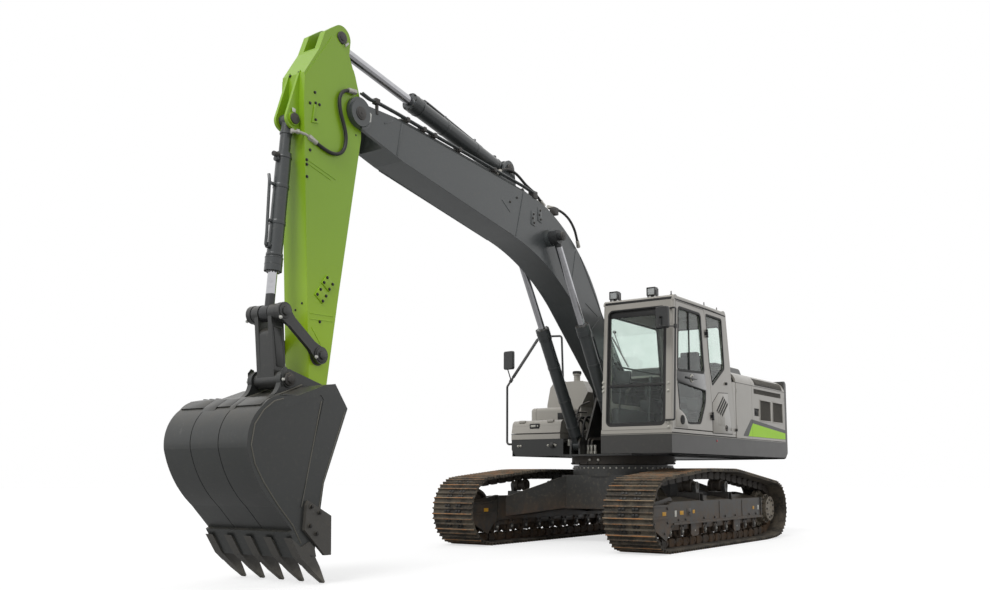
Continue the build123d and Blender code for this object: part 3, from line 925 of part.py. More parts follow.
cutter = outline((6150, 620), (6132, 655), (5884, 532), (5878, 225), (5945, 225), (6165, 430))
cutter_plate = slab(cutter, BUCKET_HALF + 0.3, BUCKET_HALF + 30)
for x, z in CUTTER_BOLTS:
    cutter_plate += bar((x, z), 17, BUCKET_HALF + 25, BUCKET_HALF + 42)
save("side_cutters", *both_sides(cutter_plate))
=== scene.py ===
import bmesh
import bpy
from math import asin, atan2, cos, hypot, pi, radians, sin, tan
from mathutils import Matrix, Vector


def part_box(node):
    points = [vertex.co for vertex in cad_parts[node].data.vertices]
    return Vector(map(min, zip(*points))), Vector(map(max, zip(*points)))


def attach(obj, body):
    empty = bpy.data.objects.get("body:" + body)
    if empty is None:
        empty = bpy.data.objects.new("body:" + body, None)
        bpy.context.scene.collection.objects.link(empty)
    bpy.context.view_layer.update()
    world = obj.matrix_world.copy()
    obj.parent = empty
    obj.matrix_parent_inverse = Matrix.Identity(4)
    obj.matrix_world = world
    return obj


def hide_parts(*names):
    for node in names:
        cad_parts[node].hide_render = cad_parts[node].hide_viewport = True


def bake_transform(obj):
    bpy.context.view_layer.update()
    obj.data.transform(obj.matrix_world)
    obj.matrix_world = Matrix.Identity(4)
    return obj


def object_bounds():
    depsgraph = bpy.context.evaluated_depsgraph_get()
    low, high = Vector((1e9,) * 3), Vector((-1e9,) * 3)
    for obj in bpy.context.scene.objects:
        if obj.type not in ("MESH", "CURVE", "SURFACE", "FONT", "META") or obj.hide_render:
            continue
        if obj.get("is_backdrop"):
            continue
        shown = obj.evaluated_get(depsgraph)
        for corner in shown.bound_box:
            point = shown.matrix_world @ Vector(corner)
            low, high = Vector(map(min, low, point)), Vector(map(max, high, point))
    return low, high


# A crawler excavator, built up around its fixed frame from the tracks to the bucket. Units are metres.
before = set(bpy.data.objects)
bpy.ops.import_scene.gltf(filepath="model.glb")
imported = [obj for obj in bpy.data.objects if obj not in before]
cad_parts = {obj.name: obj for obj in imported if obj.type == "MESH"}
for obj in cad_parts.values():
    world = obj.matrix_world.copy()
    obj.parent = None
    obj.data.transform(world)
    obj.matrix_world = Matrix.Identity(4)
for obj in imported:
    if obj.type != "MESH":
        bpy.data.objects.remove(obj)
cad_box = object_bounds()
bpy.ops.object.select_all(action="DESELECT")


# ---------------------------------------------------------------- track frames and car body
# The legs, the round body between them and the two long beams: welded plate, painted near black in a satin
# coat that gathers dust and soil towards the ground. Every painted or cast surface further down is mixed
# with the same two classes.
class Signal:
    """One output of a shader node. Sums and products on it add Math nodes."""

    def __init__(self, finish, socket):
        self.finish, self.socket = finish, socket

    def maths(self, operation, *values):
        return self.finish.node("ShaderNodeMath", {"operation": operation}, dict(enumerate(values)))

    def __add__(self, other):
        return self.maths("ADD", self, other)

    def __sub__(self, other):
        return self.maths("SUBTRACT", self, other)

    def __rsub__(self, other):
        return self.maths("SUBTRACT", other, self)

    def __mul__(self, other):
        return self.maths("MULTIPLY", self, other)

    __radd__, __rmul__ = __add__, __mul__

    def least(self, other):
        return self.maths("MINIMUM", self, other)

    def most(self, other):
        return self.maths("MAXIMUM", self, other)

    def wave(self):
        return self.maths("SINE", self)

    def band(self, low, high):
        """0 below low, 1 above high and smooth between; the other way round if low is the larger."""
        return self.finish.node("ShaderNodeMapRange", {"interpolation_type": "SMOOTHSTEP"},
            {"Value": self, "From Min": low, "From Max": high})


def tone(red, green, blue):
    """A colour as a paint card gives it, 0 to 255, in the linear light that shaders use."""
    return tuple((c / 255 / 12.92) if c < 10.3 else ((c / 255 + 0.055) / 1.055) ** 2.4
        for c in (red, green, blue))


class Finish:
    """A material: one Principled shader and the nodes that feed it."""

    def __init__(self, name, colour, roughness, **fixed):
        self.material = bpy.data.materials.new(name)
        self.material.use_nodes = True
        self.tree = self.material.node_tree
        self.shader = self.tree.nodes["Principled BSDF"]
        self.colour, self.height = colour, None
        for socket, value in {"Base Color": (*colour, 1), "Roughness": roughness, **fixed}.items():
            self.shader.inputs[socket].default_value = value

    def node(self, kind, settings, inputs, output=0):
        made = self.tree.nodes.new(kind)
        for key, value in settings.items():
            setattr(made, key, value)
        for key, value in inputs.items():
            self.feed(made.inputs[key], value)
        return Signal(self, made.outputs[output])

    def feed(self, socket, value):
        if isinstance(value, Signal):
            self.tree.links.new(value.socket, socket)
        elif isinstance(value, tuple) and len(value) == 3 and socket.type == "RGBA":
            socket.default_value = (*value, 1)
        else:
            socket.default_value = value

    def place(self, stretch=None):
        """Where a point is on the machine at rest."""
        here = self.node("ShaderNodeTexCoord", {}, {}, "Object")
        if stretch:
            here = self.node("ShaderNodeMapping", {}, {"Vector": here, "Scale": stretch})
        return here

    def axes(self):
        split = self.node("ShaderNodeSeparateXYZ", {}, {0: self.place()})
        return [Signal(self, socket) for socket in split.socket.node.outputs]

    def facing(self, axis):
        """How far a face looks along X, Y or Z, from -1 to 1."""
        normal = self.node("ShaderNodeNewGeometry", {}, {}, "Normal")
        return self.node("ShaderNodeSeparateXYZ", {}, {0: normal}, axis)

    def noise(self, scale, detail=4, stretch=None, roughness=0.55):
        return self.node("ShaderNodeTexNoise", {}, {"Vector": self.place(stretch), "Scale": scale,
            "Detail": detail, "Roughness": roughness})

    def mix(self, share, first, second):
        return self.node("ShaderNodeMix", {"data_type": "RGBA"}, {0: share, 6: first, 7: second}, 2)

    def shade(self):
        """What feeds the colour so far."""
        return Signal(self, self.shader.inputs["Base Color"].links[0].from_socket)

    def raise_by(self, height, distance, strength=1.0):
        """Adds relief, in metres, on top of what is there."""
        inputs = {"Height": height, "Distance": distance, "Strength": strength}
        if self.height:
            inputs["Normal"] = self.height
        self.height = self.node("ShaderNodeBump", {}, inputs)
        self.set("Normal", self.height)

    def set(self, socket, value):
        self.feed(self.shader.inputs[socket], value)

    def on(self, *names):
        """Puts this finish on CAD nodes."""
        for name in names:
            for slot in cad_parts[name].material_slots:
                slot.material = self.material
        return self


DUST = tone(150, 138, 118)
SOIL = tone(104, 80, 56)


def painted(name, colour, roughness=0.42, dust=0.35, soil=0.0, coat=0.25):
    """Sprayed paint: orange peel, faint fading, dust on what faces up and soil low down."""
    paint = Finish(name, colour, roughness, **{"Coat Weight": coat, "Coat Roughness": 0.18})
    x, y, z = paint.axes()
    faded = paint.noise(0.9, 3).band(0.3, 0.75)
    shade = paint.mix(faded * 0.35, colour, tuple(min(1, c * 1.22 + 0.006) for c in colour))
    grime = paint.noise(7.0, 7, roughness=0.68)
    settled = paint.facing("Z").band(0.15, 0.95) * (grime.band(0.36, 0.7) * 0.75 + 0.25) * dust
    shade = paint.mix(settled, shade, DUST)
    film = paint.noise(26, 5).band(0.5, 0.78) * (dust * 0.28)
    shade = paint.mix(film, shade, DUST)
    if soil:
        low = z.band(0.75, 0.05) * paint.noise(4.5, 8, roughness=0.72).band(0.34, 0.66) * soil
        shade = paint.mix(low, shade, SOIL)
        settled = settled.most(low)
    paint.set("Base Color", shade)
    paint.set("Roughness", (settled * 0.4 + film + roughness + (grime - 0.5) * 0.12).least(0.95))
    paint.raise_by(paint.noise(420, 2), 0.00025)
    paint.raise_by(paint.noise(1.6, 2), 0.004)
    return paint


CHASSIS_BLACK = tone(44, 44, 42)
chassis_paint = painted("chassis_paint", CHASSIS_BLACK, roughness=0.5, dust=0.6, soil=0.8)
chassis_paint.on("car_body", "track_frame_left", "track_frame_right")


# The beams' fastenings are hexagon bolts on round washers. Thin blank plates of coloured sheet mark the
# lashing points, and weld beads run along the joints.
def take_up(made):
    """Selects one piece alone and makes it the active one."""
    bpy.ops.object.select_all(action="DESELECT")
    made.select_set(True)
    bpy.context.view_layer.objects.active = made


def open_mesh():
    """Opens the active piece in edit mode with all of it selected."""
    bpy.ops.object.mode_set(mode="EDIT")
    bpy.ops.mesh.select_all(action="SELECT")


def put_down(made):
    """Puts a piece's place into its mesh and lets go of it."""
    bpy.ops.object.transform_apply(location=True, rotation=True, scale=True)
    made.select_set(False)


def settle(made, name, body, finish, slot, *stands_for):
    """Names a finished piece, puts its place into its mesh, closes its normals and fixes it to its body.

    A list of parts is joined first. A hose that crosses a joint is given two bodies, and where it leaves
    the first and reaches the second; these are not used, and such a hose is fixed to no body.
    """
    if isinstance(made, list):
        made = joined(*made)
    take_up(made)
    bpy.ops.object.transform_apply(location=True, rotation=True, scale=True)
    open_mesh()
    bpy.ops.mesh.normals_make_consistent(inside=False)
    bpy.ops.object.mode_set(mode="OBJECT")
    bpy.ops.object.shade_smooth_by_angle(angle=radians(32))
    made.select_set(False)
    made.name = made.data.name = name
    made.data.materials.clear()
    made.data.materials.append(finish.material)
    if isinstance(body, tuple):
        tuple(body[2])
        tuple(body[3])
        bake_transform(made)
    else:
        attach(made, body)
    if stands_for:
        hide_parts(*stands_for)
    return made


def rounded(made, width, segments=2, angle=30):
    """Bevels a piece's hard edges."""
    if not width:
        return made
    bevel = made.modifiers.new("edges", "BEVEL")
    bevel.width, bevel.segments, bevel.angle_limit = width, segments, radians(angle)
    bpy.context.view_layer.objects.active = made
    bpy.ops.object.modifier_apply(modifier="edges")
    return made


def joined(*parts):
    """Joins parts into the first of them."""
    bpy.ops.object.select_all(action="DESELECT")
    for part in parts:
        part.select_set(True)
    bpy.context.view_layer.objects.active = parts[0]
    bpy.ops.object.join()
    parts[0].select_set(False)
    return parts[0]


def slab_of(x, y, z, edge=0.003):
    """A block between two places on each axis, with its edges broken."""
    spans = (x, y, z)
    bpy.ops.mesh.primitive_cube_add(size=1, location=[sum(span) / 2 for span in spans])
    made = bpy.context.object
    made.scale = [abs(span[1] - span[0]) for span in spans]
    put_down(made)
    return rounded(made, edge)


def flat_sheet(corners, y):
    """One face with an outline in X-Z, left open in edit mode with all of it selected."""
    bpy.ops.mesh.primitive_circle_add(vertices=len(corners), radius=1, fill_type="NGON")
    made = bpy.context.object
    for vertex, (x, z) in zip(made.data.vertices, corners):
        vertex.co = (x, y, z)
    open_mesh()
    return made


def cut_plate(corners, y0, y1, edge=0.0):
    """A flame-cut plate: its outline in X-Z, between two places on Y."""
    made = flat_sheet(corners, y0)
    bpy.ops.mesh.extrude_region_move(TRANSFORM_OT_translate={"value": (0, y1 - y0, 0)})
    bpy.ops.object.mode_set(mode="OBJECT")
    put_down(made)
    return rounded(made, edge)


def oblong(x0, x1, z0, z1, *rest):
    """A flat piece with four square corners."""
    return cut_plate(((x0, z0), (x1, z0), (x1, z1), (x0, z1)), *rest)


def turned(start, end, radius, sides=24, edge=0.0, far_radius=None):
    """A turned bar, or a cone, from one point to another."""
    start, end = Vector(start), Vector(end)
    bpy.ops.mesh.primitive_cone_add(vertices=sides, radius1=radius, radius2=radius if far_radius is None
        else far_radius, depth=(end - start).length, location=(start + end) / 2,
        rotation=(end - start).to_track_quat("Z", "Y").to_euler())
    made = bpy.context.object
    put_down(made)
    return rounded(made, edge, angle=50)


def disc(x, z, near, far, radius, sides=24, edge=0.0):
    """A turned disc or pin that lies crosswise."""
    return turned((x, near, z), (x, far, z), radius, sides, edge)


def post(x, y, low, high, radius, sides=24, edge=0.0):
    """A turned disc or pin that stands upright."""
    return turned((x, y, low), (x, y, high), radius, sides, edge)


def about(middle, half):
    return middle - half, middle + half


def stand(place, normal, turn=0.0):
    """The place of a copy that stands on a surface."""
    return Matrix.Translation(place) @ Vector(normal).to_track_quat("Z",
        "Y").to_matrix().to_4x4() @ Matrix.Rotation(turn, 4, "Z")


def copied(model, places):
    """Copies of a model at many places, gathered in one piece, which the model becomes."""
    gathered = bmesh.new()
    for place in places:
        copy = model.data.copy()
        copy.transform(place)
        gathered.from_mesh(copy)
        bpy.data.meshes.remove(copy)
    gathered.to_mesh(model.data)
    gathered.free()
    return model


def bolt_model(radius, height):
    """A hexagon head on a washer, standing on Z = 0."""
    washer = post(0, 0, 0, height * 0.28, radius * 1.35, 12)
    head = post(0, 0, height * 0.25, height, radius, 6)
    bpy.ops.object.select_all(action="DESELECT")
    bpy.context.view_layer.objects.active = head
    bpy.ops.object.mode_set(mode="EDIT")
    bpy.ops.mesh.select_all(action="DESELECT")
    bpy.ops.object.mode_set(mode="OBJECT")
    top = max(head.data.polygons, key=lambda face: face.center.z)
    top.select = True
    bpy.ops.object.mode_set(mode="EDIT")
    bpy.ops.mesh.select_mode(type="FACE")
    bpy.ops.mesh.inset(thickness=radius * 0.18, depth=radius * 0.1)
    bpy.ops.object.mode_set(mode="OBJECT")
    return joined(washer, head)


def bolts(name, body, finish, slot, radius, places, height=None):
    """Bolts of one size at all their places, as one piece."""
    return settle(copied(bolt_model(radius, height or radius * 0.9), places), name, body, finish, slot)


TRACK_Y = sum(corner.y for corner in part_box("track_left")) / 2
FRAME_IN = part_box("track_frame_left")[0].y
AXLE_HALF = 0.15
ROLLER_X = [1.43 - 0.325 * i for i in range(9)]
ROLLER_Z = 0.2115
BEAM_WALL = 0.205                        # half width of a beam's side walls
zinc = painted("zinc_plated", tone(176, 174, 166), roughness=0.34, dust=0.35, coat=0.0)
zinc.set("Metallic", 0.55)
steel_dark = painted("blackened_bolts", tone(58, 56, 54), roughness=0.5, dust=0.45, coat=0.0)
axle_caps = []
for side in (1, -1):
    for face in (1, -1):
        y = side * TRACK_Y + face * AXLE_HALF
        for x in ROLLER_X:
            axle_caps.append(stand((x, y, ROLLER_Z), (0, face, 0)))
settle(copied(post(0, 0, -0.012, 0.01, 0.04, 20, 0.004), axle_caps), "roller_axle_caps", "undercarriage",
    steel_dark, "pin_steel")
bolts("roller_plugs", "undercarriage", zinc, "pin_steel", 0.012,
    [spot @ Matrix.Translation((0, 0, 0.009)) for spot in axle_caps])
# flat rails along the foot of each beam, between the roller brackets
rails = [slab_of((-1.285, 1.455), (side * TRACK_Y + face * 0.124, side * TRACK_Y + face * 0.14),
    (0.232, 0.306), 0.004) for side in (1, -1) for face in (1, -1)]
settle(rails, "roller_rails", "undercarriage", chassis_paint, "chassis_paint")
cheek_bolts = []
for side in (1, -1):
    for x in ROLLER_X:
        for dx in (-0.034, 0.034):
            cheek_bolts.append(stand((x + dx, side * (TRACK_Y + AXLE_HALF), 0.276), (0, side, 0)))
            cheek_bolts.append(stand((x + dx, side * (TRACK_Y - AXLE_HALF), 0.276), (0, -side, 0)))
bolts("roller_bolts", "undercarriage", steel_dark, "pin_steel", 0.011, cheek_bolts)

foot_bolts = []
for side in (1, -1):
    wall = side * (TRACK_Y + BEAM_WALL)
    for x in (1.31, 1.12, 0.6, 0.28, -0.05, -0.38, -0.86, -1.1):
        foot_bolts.append(stand((x, wall, 0.352), (0, side, 0)))
    for x, z in ((1.622, 0.485), (1.622, 0.33), (1.7, 0.215), (1.95, 0.33), (1.975, 0.395)):
        foot_bolts.append(stand((x, side * (TRACK_Y + 0.217), z), (0, side, 0)))
bolts("frame_bolts", "undercarriage", steel_dark, "pin_steel", 0.013, foot_bolts)

grease_ports, blank_plates, covers = [], {"white": [], "amber": []}, []
for side in (1, -1):
    wall = side * (TRACK_Y + BEAM_WALL)
    covers.append(oblong(0.975, 1.085, 0.385, 0.475, wall, wall + side * 0.004, 0.002))
    for x in (-0.62, 0.12):
        covers.append(oblong(x, x + 0.016, 0.335, 0.54, wall, wall + side * 0.006, 0.002))
    grease_ports.append(stand((1.03, wall + side * 0.004, 0.43), (0, side, 0)))
    for shade, x, z, width, height in (("white", 1.383, 0.425, 0.05, 0.07),
            ("amber", 1.223, 0.43, 0.095, 0.045), ("amber", 0.891, 0.434, 0.06, 0.04),
            ("white", -1.19, 0.43, 0.045, 0.06), ("amber", -1.017, 0.43, 0.055, 0.04),
            ("amber", 1.7, 0.43, 0.09, 0.042)):
        off = wall + side * (0.012 if x > 1.6 else 0.0)
        blank_plates[shade].append(oblong(x - width / 2, x + width / 2, z - height / 2, z + height / 2, off,
            off + side * 0.002, 0.0008))
COVER = ((1.455, 0.3), (1.54, 0.25), (1.66, 0.13), (1.96, 0.27), (2.015, 0.37), (2.015, 0.53), (1.59, 0.53),
    (1.54, 0.543), (1.455, 0.552))
for side in (1, -1):
    wall = side * (FRAME_IN + 0.002)
    covers.append(cut_plate(COVER, wall, wall + side * 0.022, 0.003))
    for z in (0.375, 0.508):
        covers.append(slab_of((1.585, 2.013), (wall - side * 0.012, wall + side * 0.004), (z, z + 0.022),
            0.004))
    covers.append(disc(1.975, 0.452, wall - side * 0.001, wall - side * 0.004, 0.03, 28))
    blank_plates["amber"].append(oblong(1.655, 1.745, 0.409, 0.451, wall - side * 0.002, wall, 0.0008))
settle(covers, "frame_covers", "undercarriage", chassis_paint, "chassis_paint")
port = joined(post(0, 0, -0.002, 0.006, 0.03, 24, 0.002), post(0, 0, 0.004, 0.016, 0.01, 6))
settle(copied(port, grease_ports), "track_adjuster_ports", "undercarriage", steel_dark, "pin_steel")
white_plate = painted("white_plate", tone(214, 214, 206), roughness=0.45, dust=0.4, soil=0.4, coat=0.0)
amber_plate = painted("amber_plate", tone(214, 158, 30), roughness=0.45, dust=0.35, soil=0.4, coat=0.0)
TUBE_OUT = 1.3852                        # outer end of the carrier rollers' tubes
settle([slab_of(about(x, 0.053), (side * TUBE_OUT, side * (TUBE_OUT + 0.0033)), (z, z + 0.009), 0.001)
    for side in (1, -1) for x in (0.64, -0.25) for z in (0.541, 0.64)]
    + [slab_of((x + dx, x + dx + 0.009), (side * TUBE_OUT, side * (TUBE_OUT + 0.0033)), (0.541, 0.649),
    0.001) for side in (1, -1) for x in (0.64, -0.25) for dx in (-0.053, 0.044)], "tube_rims",
    "undercarriage", steel_dark, "chassis_paint")
settle(blank_plates["white"], "lashing_plates_white", "undercarriage", white_plate, "chassis_paint")
settle(blank_plates["amber"], "lashing_plates_amber", "undercarriage", amber_plate, "chassis_paint")


# Weld beads where the four legs meet the round body, laid by hand and painted over with the rest.
def weld(points, radius):
    """A fillet weld along a line: a bead with the ripple of its weave."""
    line = bpy.data.curves.new("weld", "CURVE")
    line.dimensions, line.bevel_depth, line.bevel_resolution, line.use_fill_caps = "3D", radius, 1, True
    run = line.splines.new("POLY")
    steps = []
    for start, end in zip(points, points[1:]):
        start, end = Vector(start), Vector(end)
        count = max(2, round((end - start).length / (radius * 1.6)))
        steps += [start.lerp(end, i / count) for i in range(count)]
    steps.append(Vector(points[-1]))
    run.points.add(len(steps) - 1)
    for i, (point, place) in enumerate(zip(run.points, steps)):
        point.co = (*place, 1)
        point.radius = 1.12 if i % 2 else 0.86
    made = bpy.data.objects.new("weld", line)
    bpy.context.scene.collection.objects.link(made)
    take_up(made)
    bpy.ops.object.convert(target="MESH")
    made.select_set(False)
    return made


leg_welds = []
for front in (1, -1):
    for left in (1, -1):
        for x, far_x, z, far_z in ((0.64, 1.28, 0.85, 0.58), (0.17, 0.76, 0.85, 0.58)):
            run = [(front * (x + (far_x - x) * share), left * (0.5 + 0.5099 * share),
                z + (far_z - z) * share) for share in (0.1, 1.0)]
            leg_welds.append(weld(run, 0.006))
        inner = left * (FRAME_IN - 0.001)
        leg_welds.append(weld([(front * 0.76, inner, 0.58), (front * 1.28, inner, 0.58),
            (front * 1.28, inner, 0.345)], 0.008))
settle(leg_welds, "leg_welds", "undercarriage", chassis_paint, "chassis_paint")

# ---------------------------------------------------------------- rollers, idlers and sprockets
# Cast and hardened steel wheels on short axles, bolted to the beams: dark with oil and soil, and rubbed
# bright in patches on the sprockets.
def cast_steel(name, colour):
    """Rough castings: no gloss, a coarse grain, and soil low down."""
    cast = painted(name, colour, roughness=0.62, dust=0.35, soil=0.8, coat=0.0)
    cast.raise_by(cast.noise(60, 6), 0.0015)
    return cast


cast = cast_steel("cast_steel", tone(62, 56, 50))
cast.on("track_rollers", "idlers", "slew_ring_inner", "slew_ring_outer")
sprocket_steel = Finish("sprocket_steel", tone(70, 62, 54), 0.5)
rubbed = sprocket_steel.noise(30, 5).band(0.25, 0.6)
grime = sprocket_steel.noise(9, 7, roughness=0.7).band(0.35, 0.65)
shade = sprocket_steel.mix(grime * 0.6, tone(52, 48, 44), SOIL)
sprocket_steel.set("Base Color", sprocket_steel.mix(rubbed, shade, tone(140, 132, 118)))
sprocket_steel.set("Roughness", 0.72 - rubbed * 0.38)
sprocket_steel.raise_by(sprocket_steel.noise(60, 6), 0.0015)
sprocket_steel.on("sprockets")
SPROCKET_X, SPROCKET_Z = -1.7, 0.4
hub_bolts = []
for side in (1, -1):
    for count, ring, y in ((15, 0.172, 0.13), (9, 0.12, 0.185)):
        for i in range(count):
            turn = 2 * pi * i / count
            hub_bolts.append(stand((SPROCKET_X + ring * cos(turn), side * (TRACK_Y + y),
                SPROCKET_Z + ring * sin(turn)), (0, side, 0), turn))
bolts("hub_bolts", "undercarriage", steel_dark, "pin_steel", 0.012, hub_bolts)

# ---------------------------------------------------------------- tracks
# Forty-nine rolled shoes with three grousers each, bolted to a sealed chain of forged links. The grousers'
# tips are worn back to rusty steel, and fine soil lies between them.
SHOES, SHOE_HALF, PITCH = 49, 0.3, 0.19
# centre x, centre z and radius to the plates' face
TRACK_ROUNDS = ((1.75, 0.42, 0.394), (0.64, 0.729, 0.185), (-0.25, 0.729, 0.185), (-1.7, 0.4, 0.354),
    (-1.32, 0.226, 0.2))


def chain_stations():
    """Evenly spaced places along the taut belt round those circles."""
    runs, tangents = [], []
    for (x0, z0, r0), (x1, z1, r1) in zip(TRACK_ROUNDS, TRACK_ROUNDS[1:] + TRACK_ROUNDS[:1]):
        tangents.append(atan2(z1 - z0, x1 - x0) - pi / 2 + asin((r0 - r1) / hypot(x1 - x0, z1 - z0)))
    for i, (x, z, r) in enumerate(TRACK_ROUNDS):
        start, end = tangents[i - 1], tangents[i]
        while end < start:
            end += 2 * pi
        runs.append((r * (end - start), lambda left, x=x, z=z, r=r, start=start: (x + r
            * cos(start + left / r), z + r * sin(start + left / r))))
        x1, z1, r1 = TRACK_ROUNDS[(i + 1) % len(TRACK_ROUNDS)]
        a = Vector((x + r * cos(end), z + r * sin(end)))
        b = Vector((x1 + r1 * cos(end), z1 + r1 * sin(end)))
        runs.append(((b - a).length, lambda left, a=a, b=b: tuple(a + (b - a).normalized() * left)))
    total = sum(length for length, _ in runs)
    for step in range(SHOES):
        left = total * step / SHOES
        for length, place in runs:
            if left <= length:
                yield place(left)
                break
            left -= length


stations = list(chain_stations())
shoe_places = {1: [], -1: []}
for (x0, z0), (x1, z1) in zip(stations, stations[1:] + stations[:1]):
    pitch = hypot(x1 - x0, z1 - z0)
    ax, az = (x1 - x0) / pitch, (z1 - z0) / pitch
    for side in (1, -1):
        shoe_places[side].append(Matrix(((ax * pitch, 0, az, x0), (0, -1, 0, side * TRACK_Y),
            (az * pitch, 0, -ax, z0), (0, 0, 0, 1))))
# the shoe's profile: share of the pitch, and metres out from the plate's face
SHOE_PROFILE = ((0.012, -0.003), (0.05, -0.002), (0.085, 0.0235), (0.098, 0.0255), (0.13, 0.0255),
    (0.143, 0.0235), (0.185, -0.001), (0.39, -0.001), (0.43, 0.0235), (0.443, 0.0255), (0.487, 0.0255),
    (0.5, 0.0235), (0.54, -0.001), (0.745, -0.001), (0.78, 0.0235), (0.793, 0.0255), (0.837, 0.0255),
    (0.85, 0.0235), (0.885, -0.002), (0.985, -0.006), (0.985, -0.017), (0.88, -0.013), (0.12, -0.013),
    (0.012, -0.016))
shoe = cut_plate(SHOE_PROFILE, -SHOE_HALF, SHOE_HALF)
worn = shoe.data.attributes.new("worn", "FLOAT", "POINT")
wear = []                                # the leading grouser is worn most
for vertex in shoe.data.vertices:
    share = 1.0 if vertex.co.x < 0.3 else 0.72 if vertex.co.x < 0.6 else 0.86
    wear.append(max(0.0, vertex.co.z / 0.0255) * share)
worn.data.foreach_set("value", wear)
shoe_steel = Finish("shoe_steel", tone(70, 60, 52), 0.7, Metallic=0.0)
tips = shoe_steel.node("ShaderNodeAttribute", {"attribute_name": "worn"}, {}, "Fac")
grit, patches = shoe_steel.noise(34, 8, roughness=0.7), shoe_steel.noise(5.5, 5, roughness=0.6)
streaks = shoe_steel.noise(8, 5, stretch=(9, 1, 9))
tips = (tips + (grit - 0.5) * 0.5).band(0.66, 1.08)
shade = shoe_steel.mix(patches.band(0.38, 0.66), tone(50, 47, 43), tone(90, 83, 72))
shade = shoe_steel.mix(grit.band(0.46, 0.7) * 0.5, shade, tone(110, 98, 80))
rust = shoe_steel.mix(streaks.band(0.42, 0.62), tone(146, 128, 104), tone(182, 124, 72))
shoe_steel.set("Base Color", shoe_steel.mix(tips, shade, rust))
shoe_steel.set("Roughness", 0.86 - tips * 0.3)
shoe_steel.set("Metallic", tips * 0.35)
shoe_steel.raise_by(grit, 0.004)
shoe_steel.raise_by(shoe_steel.noise(180, 4), 0.0012)
shoe_bolt = bolt_model(0.0185, 0.014)
bolt_black = painted("bolt_black", tone(26, 24, 22), roughness=0.4, dust=0.15, coat=0.0)
link_steel = cast_steel("link_steel", tone(50, 45, 40))
for side, word in ((1, "left"), (-1, "right")):
    shoes = shoe.copy()
    shoes.data = shoe.data.copy()
    bpy.context.scene.collection.objects.link(shoes)
    settle(copied(shoes, shoe_places[side]), f"track_shoes_{word}", "undercarriage", shoe_steel,
        "track_steel", f"track_{word}")
    heads = shoe_bolt.copy()
    heads.data = shoe_bolt.data.copy()
    bpy.context.scene.collection.objects.link(heads)
    spots = []
    for place in shoe_places[side]:
        unit = place.copy()
        for row in range(3):
            unit[row][0] /= Vector(place.col[0][:3]).length
        for share in (0.29, 0.643):
            for y in (-0.105, -0.062, 0.062, 0.105):
                spots.append(unit @ Matrix.Translation((share * PITCH, y, -0.002)))
    settle(copied(heads, spots), f"shoe_bolts_{word}", "undercarriage", bolt_black, "track_steel")
    # a link: two plates that overlap the next link's, and a pin through the joint, 66 mm below the plate
    outer_cheek = ((-0.17, -0.052), (-0.1, -0.036), (0.1, -0.03), (0.2, -0.014), (0.72, -0.014),
        (0.72, -0.108), (0.16, -0.108), (0.02, -0.101), (-0.12, -0.094), (-0.19, -0.075))
    inner_cheek = ((0.4, -0.015), (0.8, -0.015), (0.9, -0.032), (1.1, -0.036), (1.17, -0.052),
        (1.19, -0.075), (1.12, -0.094), (0.98, -0.101), (0.84, -0.107), (0.4, -0.107))
    cheeks = [cut_plate(outer_cheek, s * 0.066, s * 0.09, 0) for s in (1, -1)]
    cheeks += [cut_plate(inner_cheek, s * 0.04, s * 0.0655, 0) for s in (1, -1)]
    pin = disc(0, -0.066, -0.094, 0.094, 0.021, 14)
    for vertex in pin.data.vertices:
        vertex.co.x /= PITCH
    settle(copied(joined(*cheeks, pin), shoe_places[side]), f"track_chain_{word}", "undercarriage",
        link_steel, "track_steel")
bpy.data.objects.remove(shoe)
bpy.data.objects.remove(shoe_bolt)

# ---------------------------------------------------------------- slew ring
# The bearing that the upper structure turns on: two forged races, one bolted to the car body and one to the
# revolving frame by a ring of plated bolts each, with plugs in its grease ports.
RING_OUT, PEDESTAL_OUT = 0.68, 0.6605


def round_ring(count, radius, height, turn):
    """Places round the slewing axis, all looking outwards."""
    angles = [2 * pi * i / count for i in range(count)]
    return [stand((radius * cos(t), radius * sin(t), height), (cos(t), sin(t), 0), turn) for t in angles]


bolts("slew_ring_bolts", "upper", steel_dark, "pin_steel", 0.01, round_ring(26, RING_OUT, 1.012, 0.3),
    0.012)
bolts("pedestal_bolts", "undercarriage", zinc, "pin_steel", 0.0085,
    round_ring(52, PEDESTAL_OUT, 0.948, 0.2), 0.011)
plugs = [stand((RING_OUT * cos(t), RING_OUT * sin(t), 1.052), (cos(t), sin(t), 0))
    for t in (-0.17, 0.02, 2.1, 3.9)]
plug = joined(post(0, 0, -0.004, 0.016, 0.017, 20, 0.003), post(0, 0, 0.014, 0.022, 0.009, 6))
settle(copied(plug, plugs), "ring_plugs", "upper", zinc, "pin_steel")


